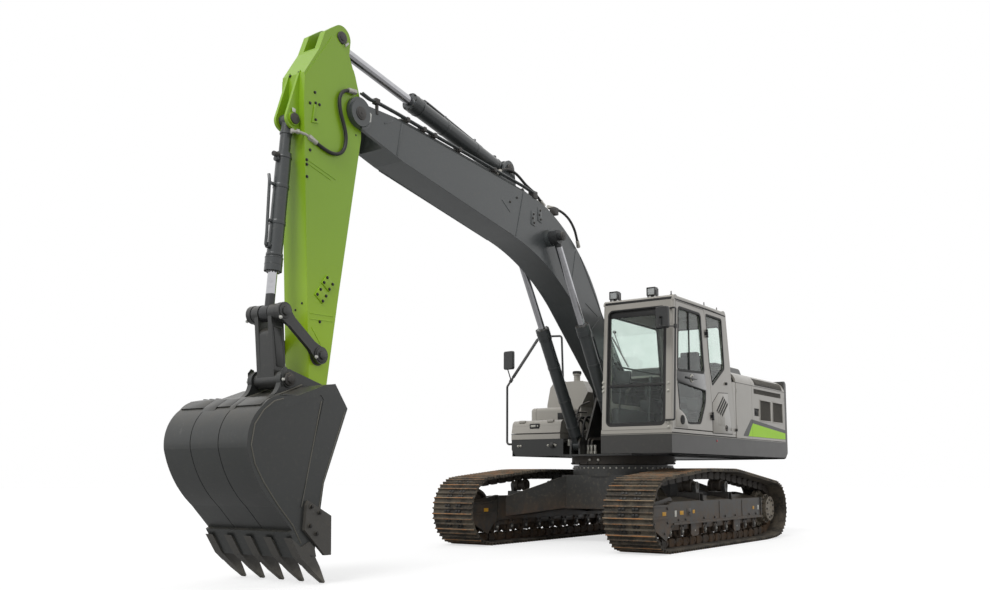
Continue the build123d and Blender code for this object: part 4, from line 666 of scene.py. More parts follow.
# ---------------------------------------------------------------- revolving frame, skirts and counterweight
# The welded frame and the pressed skirts hung round it are satin black. The counterweight behind is one
# casting, a shade greyer, with two lifting eyes on top.
frame_paint = painted("frame_paint", tone(36, 36, 35), roughness=0.5, dust=0.4)
frame_paint.on("revolving_frame", "engine")
skirt_paint = painted("skirt_paint", tone(50, 49, 47), roughness=0.4, dust=0.15, coat=0.15)
x, y, z = skirt_paint.axes()
shade = skirt_paint.shade()
# the skirts are painted darker on their right half, beyond y -0.1: painted shade
skirt_paint.set("Base Color", skirt_paint.mix(y.band(0.0, -0.1), shade, tone(34, 35, 34)))
skirt_paint.on("side_skirts")
casting = painted("counterweight_paint", tone(60, 60, 58), roughness=0.48, dust=0.3)
casting.raise_by(casting.noise(14, 5), 0.003)
casting.on("counterweight")
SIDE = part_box("side_skirts")[1].y
DECK_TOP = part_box("side_skirts")[1].z
edges = [slab_of((-2.446, 1.388), (SIDE - 0.0075, SIDE + 0.004), (DECK_TOP - 0.012, DECK_TOP), 0.002),
    slab_of((1.384, 1.394), (0.452, SIDE + 0.002), (DECK_TOP - 0.012, DECK_TOP), 0.002),
    slab_of((-2.446, 0.62), (-SIDE - 0.004, -SIDE + 0.0075), (DECK_TOP - 0.012, DECK_TOP), 0.002)]
settle(edges, "skirt_trims", "upper", painted("trim_grey", tone(120, 118, 112), roughness=0.4, dust=0.2),
    "chassis_paint")
red_lens = Finish("red_reflector", tone(196, 40, 52), 0.2, **{"Coat Weight": 0.6})
red_lens.raise_by(red_lens.noise(300, 2), 0.001)
reflectors = [disc(0.094, 1.281, side * (SIDE - 0.001), side * (SIDE + 0.006), 0.014, 20, 0.002)
    for side in (1, -1)]
settle(reflectors, "side_reflectors", "upper", red_lens, "lamp_plastic")
deck_studs = [stand((0.62, y, z), (1, 0, 0)) for y, z in ((-1.265, 1.247), (-1.225, 1.247), (-0.786, 1.249),
    (-0.693, 1.262), (-0.668, 1.25))]
bolts("deck_front_studs", "upper", zinc, "pin_steel", 0.012, deck_studs, 0.016)
socket = joined(slab_of((0.619, 0.65), (-0.745, -0.69), (1.215, 1.285), 0.008),
    turned((0.645, -0.718, 1.25), (0.662, -0.718, 1.25), 0.022, 24, 0.003))
settle(socket, "deck_socket", "upper", frame_paint, "chassis_paint")
lifting = []
for side in (1, -1):                                     # lifting eyes cast on top of the counterweight
    bpy.ops.mesh.primitive_torus_add(location=(-2.66, side * 0.82, 2.212), rotation=(pi / 2, 0, 0),
        major_radius=0.055, minor_radius=0.02, major_segments=32, minor_segments=12)
    lifting.append(bpy.context.object)
settle(lifting, "lifting_eyes", "upper", casting, "counterweight_paint")
vents = [slab_of((-2.8895, -2.879), about(y, 0.09), (z, z + 0.02), 0.004) for y in (-0.12, 0.12)
    for z in (1.34, 1.39, 1.44)]
settle(vents, "rear_vent_bars", "upper", frame_paint, "counterweight_paint")

# ---------------------------------------------------------------- house panels
# Pressed steel doors on hinges, in warm light grey. Openings are backed with black expanded mesh, and a
# blank two-colour stripe of film runs over the foot of both doors.
CAB_GREY = tone(157, 153, 145)
house_paint = painted("house_paint", CAB_GREY, roughness=0.34, dust=0.16, coat=0.4)
house_paint.on("left_front_door", "left_rear_door", "pump_door", "hood_deck", "fuel_tank", "hydraulic_tank",
    "battery_box", "toolbox", "toolbox_lid")
hood_black = painted("hood_black", tone(46, 46, 45), roughness=0.4, dust=0.3)
hood_black.on("engine_hood")
# near black, for rubber and moulding, and for sheets that stand for shade: painted shade
rubber = painted("black_rubber_and_painted_shade", tone(24, 24, 24), roughness=0.62, dust=0.2, coat=0.0)


def moulded(made, name, body="upper"):
    """A piece of black rubber or moulding, or a black sheet of painted shade."""
    return settle(made, name, body, rubber, "lamp_plastic")


def film(corners, y, thick):
    """A sheet of film with a straight-cut outline, laid on a door."""
    return cut_plate(corners, y, y + thick)


FILM_LEFT, SEAM_X = 0.0013, (-1.1322, -1.1378)
dark_film = painted("stripe_film_dark", tone(42, 44, 43), roughness=0.4, dust=0.05, coat=0.1)
lime_film = painted("stripe_film_lime", tone(168, 226, 0), roughness=0.45, dust=0.0, coat=0.0)
settle(film(((-0.804, 1.372), (-0.812, 1.392), (-1.085, 1.606), (SEAM_X[0], 1.607), (SEAM_X[0], 1.372)),
    SIDE - 0.0005, FILM_LEFT), "stripe_dark_front", "left_front_door", dark_film, "house_paint")
settle(film(((SEAM_X[1], 1.372), (SEAM_X[1], 1.607), (-2.444, 1.512), (-2.444, 1.372)), SIDE - 0.0005,
    FILM_LEFT), "stripe_dark_rear", "left_rear_door", dark_film, "house_paint")
settle(film(((-0.978, 1.376), (SEAM_X[0], 1.538), (SEAM_X[0], 1.376)), SIDE, FILM_LEFT + 0.0004),
    "stripe_lime_front", "left_front_door", lime_film, "house_paint")
settle(film(((SEAM_X[1], 1.376), (SEAM_X[1], 1.544), (-1.149, 1.554), (-2.444, 1.464), (-2.444, 1.376)),
    SIDE, FILM_LEFT + 0.0004), "stripe_lime_rear", "left_rear_door", lime_film, "house_paint")

mesh_black = painted("mesh_black", tone(84, 82, 77), roughness=0.55, dust=0.3, coat=0.0)


def wire_mesh(x0, x1, z0, z1, y, cell=0.0165, wire=0.0042):
    """Expanded mesh in an opening: a grid of wires, set crosswise."""
    across, up = max(2, round((x1 - x0) / cell)), max(2, round((z1 - z0) / cell))
    bpy.ops.mesh.primitive_grid_add(x_subdivisions=across, y_subdivisions=up, size=1,
        location=((x0 + x1) / 2, y, (z0 + z1) / 2), rotation=(pi / 2, 0, 0))
    grid = bpy.context.object
    grid.scale = (x1 - x0, z1 - z0, 1)
    open_mesh()
    bpy.ops.mesh.poke()
    bpy.ops.mesh.tris_convert_to_quads(face_threshold=pi, shape_threshold=pi)
    bpy.ops.object.mode_set(mode="OBJECT")
    bpy.ops.object.transform_apply(location=True, rotation=True, scale=True)
    wires = grid.modifiers.new("wires", "WIREFRAME")
    wires.thickness, wires.use_replace = wire, True
    bpy.ops.object.modifier_apply(modifier="wires")
    grid.select_set(False)
    return grid


GRILLES = ((-1.85, -1.44, 1.612, 1.885), (-2.345, -1.945, 1.612, 1.885), (-2.29, -1.21, 1.965, 2.03))
PANEL_BACK = SIDE - 0.014
grille_parts = [wire_mesh(x0 + 0.001, x1 - 0.001, z0 + 0.001, z1 - 0.001, PANEL_BACK + 0.007)
    for x0, x1, z0, z1 in GRILLES]
settle(grille_parts, "rear_door_mesh", "left_rear_door", mesh_black, "lamp_plastic")
# black sheets behind the mesh openings and the latch recess stand for the dark inside of the door: painted
# shade
backing = [slab_of((x0 + 0.0005, x1 - 0.0005), (PANEL_BACK - 0.0005, PANEL_BACK + 0.0015),
    (z0 + 0.0005, z1 - 0.0005), 0) for x0, x1, z0, z1 in GRILLES]
backing.append(slab_of((-1.3995, -1.2205), (PANEL_BACK - 0.0005, PANEL_BACK + 0.0015), (1.6605, 1.7645), 0))
moulded(backing, "rear_door_backing", "left_rear_door")
frames = []
for x0, x1, z0, z1 in GRILLES[:2]:                       # pressed rims round the two tall openings
    for a, b, c, d in ((x0 - 0.018, x1 + 0.018, z1, z1 + 0.016), (x0 - 0.018, x1 + 0.018, z0 - 0.016, z0),
            (x0 - 0.018, x0, z0 - 0.001, z1 + 0.001), (x1, x1 + 0.018, z0 - 0.001, z1 + 0.001)):
        frames.append(slab_of((a, b), (SIDE - 0.004, SIDE + 0.005), (c, d), 0.003))
settle(frames, "grille_rims", "left_rear_door", house_paint, "house_paint")


def shoulder_arc(z):
    """Y and Z of a point 3.5 mm outside the house's turned edge, for a height on that edge."""
    turn, via, crown = (SIDE, 2.04), (SIDE - 0.042, 2.166), (SIDE - 0.145, 2.222)
    a, b, c = Vector(turn), Vector(via), Vector(crown)
    d = 2 * (a.x * (b.y - c.y) + b.x * (c.y - a.y) + c.x * (a.y - b.y))
    cy = (a.length_squared * (b.y - c.y) + b.length_squared * (c.y - a.y) + c.length_squared
        * (a.y - b.y)) / d
    cz = (a.length_squared * (c.x - b.x) + b.length_squared * (a.x - c.x) + c.length_squared
        * (b.x - a.x)) / d
    radius = hypot(a.x - cy, a.y - cz)
    return cy + (radius + 0.0035) * cos(asin((z - cz) / radius)), cz + (radius + 0.0035) * (z - cz) / radius


def shoulder_mesh(x0, x1, z0, z1, side, body, name):
    """Mesh in the turned edge of the house, with a black sheet of painted shade behind it."""
    panel = wire_mesh(x0, x1, z0, z1, 0)
    # the black sheet behind the mesh stands for the dark inside: painted shade
    back = slab_of((x0 - 0.012, x1 + 0.012), (-0.0042, -0.0012), (z0 - 0.01, z1 + 0.01), 0)
    take_up(back)
    open_mesh()
    bpy.ops.mesh.subdivide(number_cuts=8)
    bpy.ops.object.mode_set(mode="OBJECT")
    for part in (panel, back):
        for vertex in part.data.vertices:
            y, z = shoulder_arc(vertex.co.z)
            vertex.co = (vertex.co.x, side * (y + vertex.co.y), z)
    settle(panel, name, body, mesh_black, "lamp_plastic")
    moulded(back, name + "_backing", body)


shoulder_mesh(-2.34, -1.27, 2.093, 2.168, 1, "upper", "left_shoulder_mesh")
shoulder_mesh(-2.34, -1.48, 2.093, 2.168, -1, "upper", "right_shoulder_mesh")


def louvre_bars(x0, x1, z0, z1, count, y, side):
    """Level bars at even heights in an opening."""
    return [oblong(x0, x1, z0 + (z1 - z0) * i / count, z0 + (z1 - z0) * (i + 0.45) / count, y,
        y + side * 0.01, 0.003) for i in range(count)]


pump_louvres = []
for x0, x1 in ((-2.3, -1.95), (-1.85, -1.45)):
    pump_louvres += louvre_bars(x0, x1, 1.62, 1.88, 7, -SIDE + 0.001, -1)
settle(pump_louvres, "pump_door_louvres", "pump_door", house_paint, "house_paint")


def paddle_latch(x, y, z, side, body, name):
    """A paddle latch in its tray, with a keyhole."""
    tray = oblong(x - 0.06, x + 0.06, z - 0.032, z + 0.032, y, y + side * 0.004, 0.0015)
    paddle = oblong(x - 0.05, x + 0.022, z - 0.02, z + 0.02, y + side * 0.003, y + side * 0.012, 0.004)
    key = disc(x + 0.04, z, y, y + side * 0.01, 0.01, 20, 0.002)
    return moulded([tray, paddle, key], name, body)


paddle_latch(-1.31, PANEL_BACK + 0.001, 1.712, 1, "left_rear_door", "rear_door_latch")
paddle_latch(-1.4, -SIDE + 0.001, 1.712, -1, "pump_door", "pump_door_latch")

# black weather strips behind the seams, and the filler panel between the cab and the front door
DOOR_FOOT, DOOR_TOP = 1.345, 2.06
strips = [slab_of((-1.147, -1.123), (SIDE - 0.034, SIDE - 0.0285), (DOOR_FOOT, DOOR_TOP), 0),
    slab_of((-2.452, -2.44), (SIDE - 0.034, SIDE - 0.029), (DOOR_FOOT, DOOR_TOP), 0),
    slab_of((-1.32, -1.29), (-SIDE + 0.0285, -SIDE + 0.034), (DOOR_FOOT, DOOR_TOP), 0),
    slab_of((-0.575, -0.56), (SIDE - 0.04, SIDE - 0.029), (DOOR_FOOT, DOOR_TOP), 0)]
moulded(strips, "seam_strips")
settle(cut_plate(((-0.561, 1.345), (-0.5565, 1.345), (-0.432, 2.064), (-0.561, 2.064)), SIDE - 0.028,
    SIDE - 0.002, 0.003), "cab_side_filler", "upper", house_paint, "house_paint")
settle(slab_of((-1.292, -0.958), (-1.352, -0.742), (1.3362, 2.128), 0.018), "hydraulic_tank_shell", "upper",
    house_paint, "house_paint", "hydraulic_tank")
moulded(slab_of((0.1535, 0.1625), (-0.925, -0.812), (1.612, 1.712), 0.01), "battery_box_port")

# end of the hood deck beside the cab: a black ribbed cover over the air intake, under a grey cap
intake = joined(slab_of((-0.9, -0.61), (0.64, 1.08), (2.2295, 2.325), 0.018),
    *[slab_of((-0.908, -0.602), (0.632, 1.088), (2.245 + 0.024 * i, 2.253 + 0.024 * i), 0.003)
    for i in range(3)])
settle(intake, "intake_cover", "upper", rubber, "hood_paint")
settle(slab_of((-0.915, -0.595), (0.625, 1.095), (2.322, 2.35), 0.012), "intake_cap", "upper", skirt_paint,
    "hood_paint")
settle([post(-1.62, -0.42, 2.444, 2.4449, 0.07, 32), post(-1.62, -0.42, 2.3, 2.444, 0.062, 32)],
    "exhaust_collar", "engine_hood", steel_dark, "engine_iron")
hood_ribs = [slab_of((-2.2, -1.52), (y, y + 0.03), (2.4435, 2.4448), 0.0004)
    for y in (-0.25, 0.0, 0.25, 0.5)]
settle(hood_ribs, "hood_ribs", "engine_hood", hood_black, "hood_paint")

# ---------------------------------------------------------------- right deck
# Tanks, battery box and toolbox: folded and welded sheet in the house grey, bolted to the deck. The toolbox
# lid is a moulded shell on a hinge, and anti-slip strips are bonded to what is stepped on.
cap = joined(post(-0.33, -0.9, 2.288, 2.33, 0.0585, 32, 0.006),
    *[post(-0.33 + 0.056 * cos(t), -0.9 + 0.056 * sin(t), 2.286, 2.324, 0.0075, 8)
    for t in [2 * pi * i / 12 for i in range(12)]])
moulded(cap, "filler_cap")
moulded(slab_of((0.596, 0.6185), (-1.083, -0.931), (1.478, 1.545), 0.006), "toolbox_latch_tray",
    "toolbox_lid")
settle([slab_of((0.612, 0.6245), (-1.062, -0.985), (1.496, 1.526), 0.005),
    turned((0.613, -0.953, 1.511), (0.6235, -0.953, 1.511), 0.011, 20, 0.002)], "toolbox_latch",
    "toolbox_lid", zinc, "pin_steel")
lid_bumps = [slab_of((0.54, 0.603), about(y, 0.05), (1.556, 1.592), 0.012) for y in (-1.222, -0.77)]
settle(lid_bumps, "toolbox_lid_bumps", "toolbox_lid", house_paint, "house_paint")
moulded([slab_of((0.618, 0.628), (-1.374, -0.602), (1.403, 1.4115), 0.002),
    slab_of((0.17, 0.628), (-1.3785, -1.3735), (1.403, 1.4115), 0.001)], "toolbox_gasket")
# anti-slip strips on the lid
treads = [slab_of((0.23 + i * 0.1, 0.29 + i * 0.1), (-1.28, -0.7), (1.589, 1.594), 0.0015)
    for i in range(3)]
moulded(treads, "toolbox_treads", "toolbox_lid")
box_treads = [slab_of((-0.19 + i * 0.1, -0.13 + i * 0.1), (-1.3, -0.86), (1.789, 1.794), 0.0015)
    for i in range(3)]
moulded(box_treads, "battery_box_treads")
paddle_latch(0.02, -SIDE + 0.001, 1.6, -1, "upper", "battery_box_latch")
gauge = joined(slab_of((-0.72, -0.69), (-1.372, -1.3655), (1.45, 1.75), 0.003),
    *[disc(-0.705, z, -1.368, -1.3745, 0.014, 6) for z in (1.46, 1.74)])
moulded(gauge, "fuel_gauge")
tank_bolts = [stand((x, y, 2.182), (0, 0, 1)) for x in (-0.52, -0.86) for y in (-1.02, -0.86)]
bolts("tank_cover_bolts", "upper", steel_dark, "pin_steel", 0.01, tank_bolts)
settle(post(-0.69, -0.94, 2.1795, 2.186, 0.13, 40, 0.002), "tank_cover", "upper", house_paint,
    "house_paint")
settle([post(-1.12, -1.0, 2.12, 2.144, 0.11, 40, 0.004), post(-1.12, -1.0, 2.142, 2.15, 0.035, 24, 0.002)],
    "hydraulic_tank_cover", "upper", house_paint, "house_paint")


# Hydraulic hoses with crimped and plated ends, held at both ends and at their clamps.
def hose(points, radius, ferrules=True, order=3):
    """A hose along a smooth line. The same line gives the crimped sleeve and the nut on each end."""
    line = bpy.data.curves.new("hose", "CURVE")
    line.dimensions, line.bevel_depth, line.bevel_resolution = "3D", radius, 3
    line.use_fill_caps, line.resolution_u = True, 8
    run = line.splines.new("NURBS")
    run.points.add(len(points) - 1)
    for point, place in zip(run.points, points):
        point.co = (*place, 1)
    run.order_u, run.use_endpoint_u = order, True
    made = bpy.data.objects.new("hose", line)
    bpy.context.scene.collection.objects.link(made)
    take_up(made)
    bpy.ops.object.convert(target="MESH")
    made.select_set(False)
    ends = []
    if ferrules:
        for start, toward in ((Vector(points[0]), Vector(points[1])),
                (Vector(points[-1]), Vector(points[-2]))):
            way = (toward - start).normalized()
            ends.append(turned(start + way * radius * 1.2, start + way * radius * 5.2, radius * 1.42, 20,
                radius * 0.2))
            ends.append(turned(start - way * radius * 0.6, start + way * radius * 1.5, radius * 1.62, 6))
    return made, ends


hose_rubber = painted("hose_rubber", tone(30, 30, 30), roughness=0.55, dust=0.25, coat=0.0)


def gather_hoses(runs, radius, name, body, slot="lamp_plastic"):
    """Several hoses of one size: the rubber in one piece, the plated ends in another."""
    rubber_parts, end_parts = [], []
    for points in runs:
        made, ends = hose(points, radius)
        rubber_parts.append(made)
        end_parts += ends
    settle(rubber_parts, name, body, hose_rubber, slot)
    settle(end_parts, name + "_ends", body, zinc, "pin_steel")


HOSE = 0.0145                            # radius of the hoses on the deck and at the boom's foot
deck_runs = []
for y, x, far in ((-0.52, 0.52, 0.1), (-0.46, 0.47, 0.02), (-0.4, 0.52, 0.14), (-0.34, 0.46, 0.05),
        (-0.29, 0.55, 0.18)):
    deck_runs.append(((x, y, 1.25), (x + 0.01, y, 1.42), (x - 0.02, y + 0.01, 1.58),
        (x - 0.14, y - 0.01, 1.64), (far, y, 1.56), (far - 0.02, y, 1.4)))
gather_hoses(deck_runs, HOSE, "deck_hoses", "upper")
left_runs = [((0.5, y, 1.25), (0.51, y, 1.4), (0.44, y, 1.56), (0.3, y, 1.6), (0.16, y, 1.48),
    (0.12, y, 1.34)) for y in (0.3, 0.35, 0.4)]
gather_hoses(left_runs, HOSE, "left_deck_hoses", "upper")
for side, heights in ((-1, (0.0, 0.05, 0.1, 0.15)), (1, (0.0, 0.05))):
    runs = [((0.34 - 0.05 * i, side * 0.285, 1.3), (0.34 - 0.05 * i, side * 0.29, 1.48),
        (0.2 - 0.02 * i, side * 0.3, 1.72), (0.24 - 0.04 * i, side * 0.296, 1.98),
        (0.44 - 0.05 * i, side * 0.25, 2.14 + rise * 0.6), (0.6 - 0.05 * i, side * 0.202, 2.3 + rise),
        (0.69 - 0.05 * i, side * 0.198, 2.42 + rise)) for i, rise in enumerate(heights)]
    gather_hoses(runs, HOSE, "boom_foot_hoses_" + ("left" if side > 0 else "right"),
        ("upper", "boom", (0.3, 0, 1.5), (0.3, 0, 2.05)))
valve = [slab_of((0.02, 0.2), (-0.56, -0.27), (1.336, 1.402), 0.01),
    slab_of((0.05, 0.17), (-0.54, -0.3), (1.4, 1.43), 0.008)]
valve += [post(0.11, y, 1.425, 1.455, 0.02, 6, 0.002) for y in (-0.5, -0.42, -0.34)]
settle(valve, "valve_block", "upper", steel_dark, "engine_iron")
fittings = []
for y, x, z in ((-0.44, 0.47, 1.47), (-0.49, 0.47, 1.47), (-0.185, 0.6, 1.21), (-0.135, 0.6, 1.21),
        (-0.08, 0.6, 1.21), (0.14, 0.6, 1.21)):
    fittings += [post(x, y, z - 0.05, z + 0.02, 0.017, 20, 0.003),
        post(x, y, z - 0.078, z - 0.048, 0.023, 6), post(x, y, z + 0.018, z + 0.034, 0.021, 6)]
settle(fittings, "deck_fittings", "upper", zinc, "pin_steel")
pipes = [hose(points, 0.0125, False)[0] for points in (((0.47, -0.44, 1.5), (0.47, -0.44, 1.62),
    (0.43, -0.425, 1.74), (0.35, -0.412, 1.8), (0.18, -0.41, 1.84)),
    ((0.47, -0.49, 1.5), (0.47, -0.49, 1.58), (0.45, -0.48, 1.66), (0.35, -0.47, 1.7), (0.16, -0.465, 1.7)),
    ((0.6, -0.185, 1.24), (0.594, -0.185, 1.29), (0.56, -0.19, 1.325), (0.47, -0.195, 1.33),
    (0.25, -0.2, 1.34)), ((0.6, -0.135, 1.24), (0.594, -0.135, 1.28), (0.56, -0.14, 1.31),
    (0.47, -0.145, 1.315), (0.25, -0.15, 1.32)), ((0.47, -0.44, 1.4), (0.475, -0.44, 1.32),
    (0.48, -0.43, 1.24), (0.47, -0.42, 1.18)), ((0.47, -0.49, 1.4), (0.475, -0.49, 1.32),
    (0.48, -0.48, 1.24), (0.47, -0.47, 1.18)))]
settle(pipes, "deck_pipes", "upper", steel_dark, "pin_steel")


# ---------------------------------------------------------------- cab
# Pressed and welded steel in the same grey, set on rubber mounts. It has black hinges, rubber seals bonded
# round tinted glass, and a dark interior.
cab_paint = painted("cab_paint", CAB_GREY, roughness=0.3, dust=0.12, coat=0.45)
cab_paint.on("cab_floor", "cab_front_frame", "cab_roof", "cab_rear_wall", "cab_right_wall")
hinge_side = painted("cab_side_paint", CAB_GREY, roughness=0.3, dust=0.12, coat=0.45)
x, y, z = hinge_side.axes()
shade = hinge_side.shade()
hinge_side.set("Base Color", hinge_side.mix(y.band(SIDE + 0.0015, SIDE + 0.0025), shade, tone(28, 28, 28)))
hinge_side.on("cab_left_frame", "cab_door")
black_trim = painted("cab_black_trim", tone(26, 27, 27), roughness=0.34, dust=0.12, coat=0.3)
gloss_black = painted("gloss_black", tone(20, 22, 22), roughness=0.14, dust=0.1, coat=0.6)
black_trim.on("deck_rail", "cab_grab_rail", "deck_mirror", "cab_mirror", "work_lamps")
frame_paint.on("boom_foot_pins")

glass = Finish("cab_glass", (0.5, 0.64, 0.58), 0.03, **{"Transmission Weight": 1.0, "IOR": 1.12,
    "Coat Weight": 0.5, "Coat Roughness": 0.02})
smears = glass.noise(2.5, 6, roughness=0.65).band(0.35, 0.75)
glass.set("Base Color", glass.mix(smears, (0.78, 0.86, 0.82), (0.86, 0.92, 0.89)))
glass.set("Roughness", smears * 0.06 + 0.02)
glass.on("cab_glass", "door_glass")


def round_corners(corners, radius, steps=5):
    """A flat sheet in X-Z with rounded corners, still one face."""
    made = flat_sheet(corners, 0)
    bpy.ops.mesh.bevel(offset=radius, segments=steps, affect="VERTICES")
    return made


def seal_ring(corners, radius, width, y0, thick):
    """A rubber seal of one width along a window's edge, thick along Y from y0."""
    made = round_corners(corners, radius)
    bpy.ops.mesh.select_all(action="SELECT")
    bpy.ops.mesh.inset(thickness=width, depth=0)
    bpy.ops.mesh.delete(type="FACE")
    bpy.ops.mesh.select_all(action="SELECT")
    bpy.ops.mesh.extrude_region_move(TRANSFORM_OT_translate={"value": (0, thick, 0)})
    bpy.ops.object.mode_set(mode="OBJECT")
    for vertex in made.data.vertices:
        vertex.co.y += y0
    made.select_set(False)
    return rounded(made, min(abs(thick), width) * 0.3, 2, 40)


def grown(corners, by):
    """An outline moved outwards by a width, corner by corner."""
    middle = Vector((sum(c[0] for c in corners) / len(corners), sum(c[1] for c in corners) / len(corners)))
    moved, count = [], len(corners)
    for i in range(count):
        a, b, c = (Vector(corners[(i + k - 1) % count]) for k in range(3))
        first, second = (b - a).normalized(), (c - b).normalized()
        normals = [Vector((d.y, -d.x)) for d in (first, second)]
        if normals[0].dot(b - middle) < 0:
            normals = [-n for n in normals]
        corner = (normals[0] + normals[1]) / (1 + normals[0].dot(normals[1]))
        moved.append(tuple(b + corner * by))
    return moved


UPPER_WINDOW = ((1.17, 2.83), (0.52, 2.83), (0.43, 2.09), (1.215, 2.06))
LOWER_WINDOW = ((0.395, 1.9), (0.415, 1.73), (0.566, 1.47), (0.89, 1.455), (1.15, 1.5), (1.225, 1.96))
QUARTER = ((0.372, 2.85), (-0.14, 2.85), (-0.205, 2.205), (0.205, 1.955), (0.285, 2.215))
moulded(seal_ring(grown(QUARTER, 0.004), 0.04, 0.026, SIDE - 0.009, 0.0095), "quarter_seal")
door_seals = [seal_ring(grown(UPPER_WINDOW, 0.006), 0.06, 0.034, SIDE - 0.009, 0.0105),
    seal_ring(grown(LOWER_WINDOW, 0.004), 0.05, 0.028, SIDE - 0.009, 0.01)]
band = cut_plate(((1.232, 2.075), (0.424, 2.1), (0.388, 1.89), (1.236, 1.945)), SIDE - 0.001, SIDE + 0.0012,
    0.0005)
slider = [slab_of((0.838, 0.866), (SIDE - 0.016, SIDE - 0.006), (2.075, 2.815), 0.003),
    slab_of((0.46, 1.2), (SIDE - 0.016, SIDE - 0.006), (2.066, 2.09), 0.003)]
moulded([*door_seals, *slider], "door_seals", "cab_door")
settle(band, "door_band", "cab_door", gloss_black, "cab_paint")
settle(disc(0.818, 2.004, SIDE - 0.001, SIDE + 0.01, 0.05, 32, 0.004), "door_handle_base", "cab_door", zinc,
    "pin_steel")
grip = joined(disc(0.818, 2.004, SIDE + 0.008, SIDE + 0.018, 0.032, 28, 0.004),
    slab_of((0.7, 0.985), (SIDE + 0.01, SIDE + 0.026), (1.992, 2.014), 0.008),
    slab_of((0.968, 0.99), (SIDE - 0.001, SIDE + 0.02), (1.99, 2.016), 0.006))
settle(grip, "door_handle", "cab_door", black_trim, "lamp_plastic")
surround = cut_plate(((1.286, 1.408), (1.262, 1.6), (1.225, 1.622), (1.13, 1.604), (1.035, 1.56),
    (0.975, 1.5), (0.945, 1.42), (0.948, 1.408)), SIDE - 0.03, SIDE + 0.007, 0.006)
settle(surround, "vent_surround", "cab_door", cab_paint, "cab_paint")
vent = [disc(1.112, 1.497, SIDE + 0.004, SIDE + 0.014, 0.056, 40, 0.003)]
vent += [slab_of(about(1.112, w), (SIDE + 0.012, SIDE + 0.02), about(1.497 + h, 0.004), 0.002)
    for h, w in ((-0.036, 0.035), (-0.018, 0.046), (0.0, 0.05), (0.018, 0.046), (0.036, 0.035))]
moulded(vent, "door_vent", "cab_door")

# windshield: a printed black border inside a thick seal, on the plane that leans back
LEAN = atan2(0.098, 1.55)
FRONT_LOW_X, FRONT_LOW_Z = 1.39, 1.34


def on_front(made, inset):
    """Moves a piece drawn flat in X-Z (X is the width) onto the leaning front face."""
    for vertex in made.data.vertices:
        across, out, up = vertex.co.x, vertex.co.y, vertex.co.z
        vertex.co = (FRONT_LOW_X - tan(LEAN) * (up - FRONT_LOW_Z) - inset + out * cos(LEAN), across,
            up + out * sin(LEAN))
    return made


WINDSHIELD = ((0.515, 1.425), (1.29, 1.425), (1.29, 2.83), (0.515, 2.83))
wind_parts = [on_front(seal_ring(grown(WINDSHIELD, 0.003), 0.07, 0.02, 0, 0.01), 0.008),
    on_front(seal_ring(grown(WINDSHIELD, -0.012), 0.06, 0.03, 0, 0.003), 0.0175),
    on_front(slab_of((0.52, 1.285), (0, 0.012), (1.888, 1.922), 0.003), 0.02),
    on_front(slab_of((0.525, 1.28), (0, 0.003), (2.73, 2.825), 0.001), 0.0175)]
moulded(wind_parts, "windshield_seal")
rear_window = ((0.54, 2.26), (1.285, 2.26), (1.285, 2.79), (0.54, 2.79))
rear_seal = seal_ring(grown(rear_window, 0.006), 0.06, 0.028, 0, 0.012)
for vertex in rear_seal.data.vertices:
    vertex.co = (-0.55 + 0.27 * (vertex.co.z - 1.34) / 1.55 - 0.004 + vertex.co.y, vertex.co.x, vertex.co.z)
moulded(rear_seal, "rear_window_seal")
RIGHT_WINDOW = ((-0.3, 1.72), (1.18, 1.72), (1.165, 2.8), (-0.16, 2.8))
moulded(seal_ring(grown(RIGHT_WINDOW, 0.006), 0.06, 0.028, 0.4455, 0.012), "right_window_seal")
right_bars = [slab_of((-0.24, 1.19), (0.4385, 0.4475), (z, z + 0.022), 0.004) for z in (1.86, 2.02, 2.18)]
settle(right_bars, "right_window_guard", "upper", black_trim, "lamp_plastic")

wiper = [on_front(cut_plate(((0.566, 2.5), (0.584, 2.512), (0.812, 2.132), (0.798, 2.122)), 0.002, 0.012,
    0.002), 0.008), on_front(cut_plate(((0.6, 2.56), (0.612, 2.566), (0.716, 2.3), (0.706, 2.296)), 0.012,
    0.02, 0.002), 0.008)]
wiper_pivot = on_front(disc(0.606, 2.566, -0.012, 0.024, 0.018, 20, 0.004), 0.008)
settle([*wiper, wiper_pivot], "wiper", "upper", painted("wiper_grey", tone(120, 126, 122), roughness=0.3,
    dust=0.1), "lamp_plastic")

pillar = [stand((FRONT_LOW_X - tan(LEAN) * (z - FRONT_LOW_Z) - 0.002, y, z), (1, 0, sin(LEAN)))
    for y, z in ((1.326, 1.912), (1.324, 1.824), (1.33, 1.454), (1.334, 1.404), (0.47, 1.958), (0.47, 1.9),
    (0.472, 1.852))]
bolts("pillar_bolts", "upper", zinc, "pin_steel", 0.0145, pillar, 0.016)

# left rear panel: raised service cover with slanted louvres, a lock and two rubber stops
service = cut_plate(((0.206, 1.748), (0.012, 1.884), (-0.288, 1.898), (-0.408, 1.384), (0.206, 1.378)),
    SIDE - 0.002, SIDE + 0.0032, 0.0015)
settle(service, "service_cover", "upper", cab_paint, "cab_paint")
moulded(cut_plate(((0.216, 1.37), (0.216, 1.752), (0.016, 1.892), (-0.292, 1.906), (-0.418, 1.376)),
    SIDE - 0.001, SIDE + 0.0008, 0), "service_cover_shadow_gap")
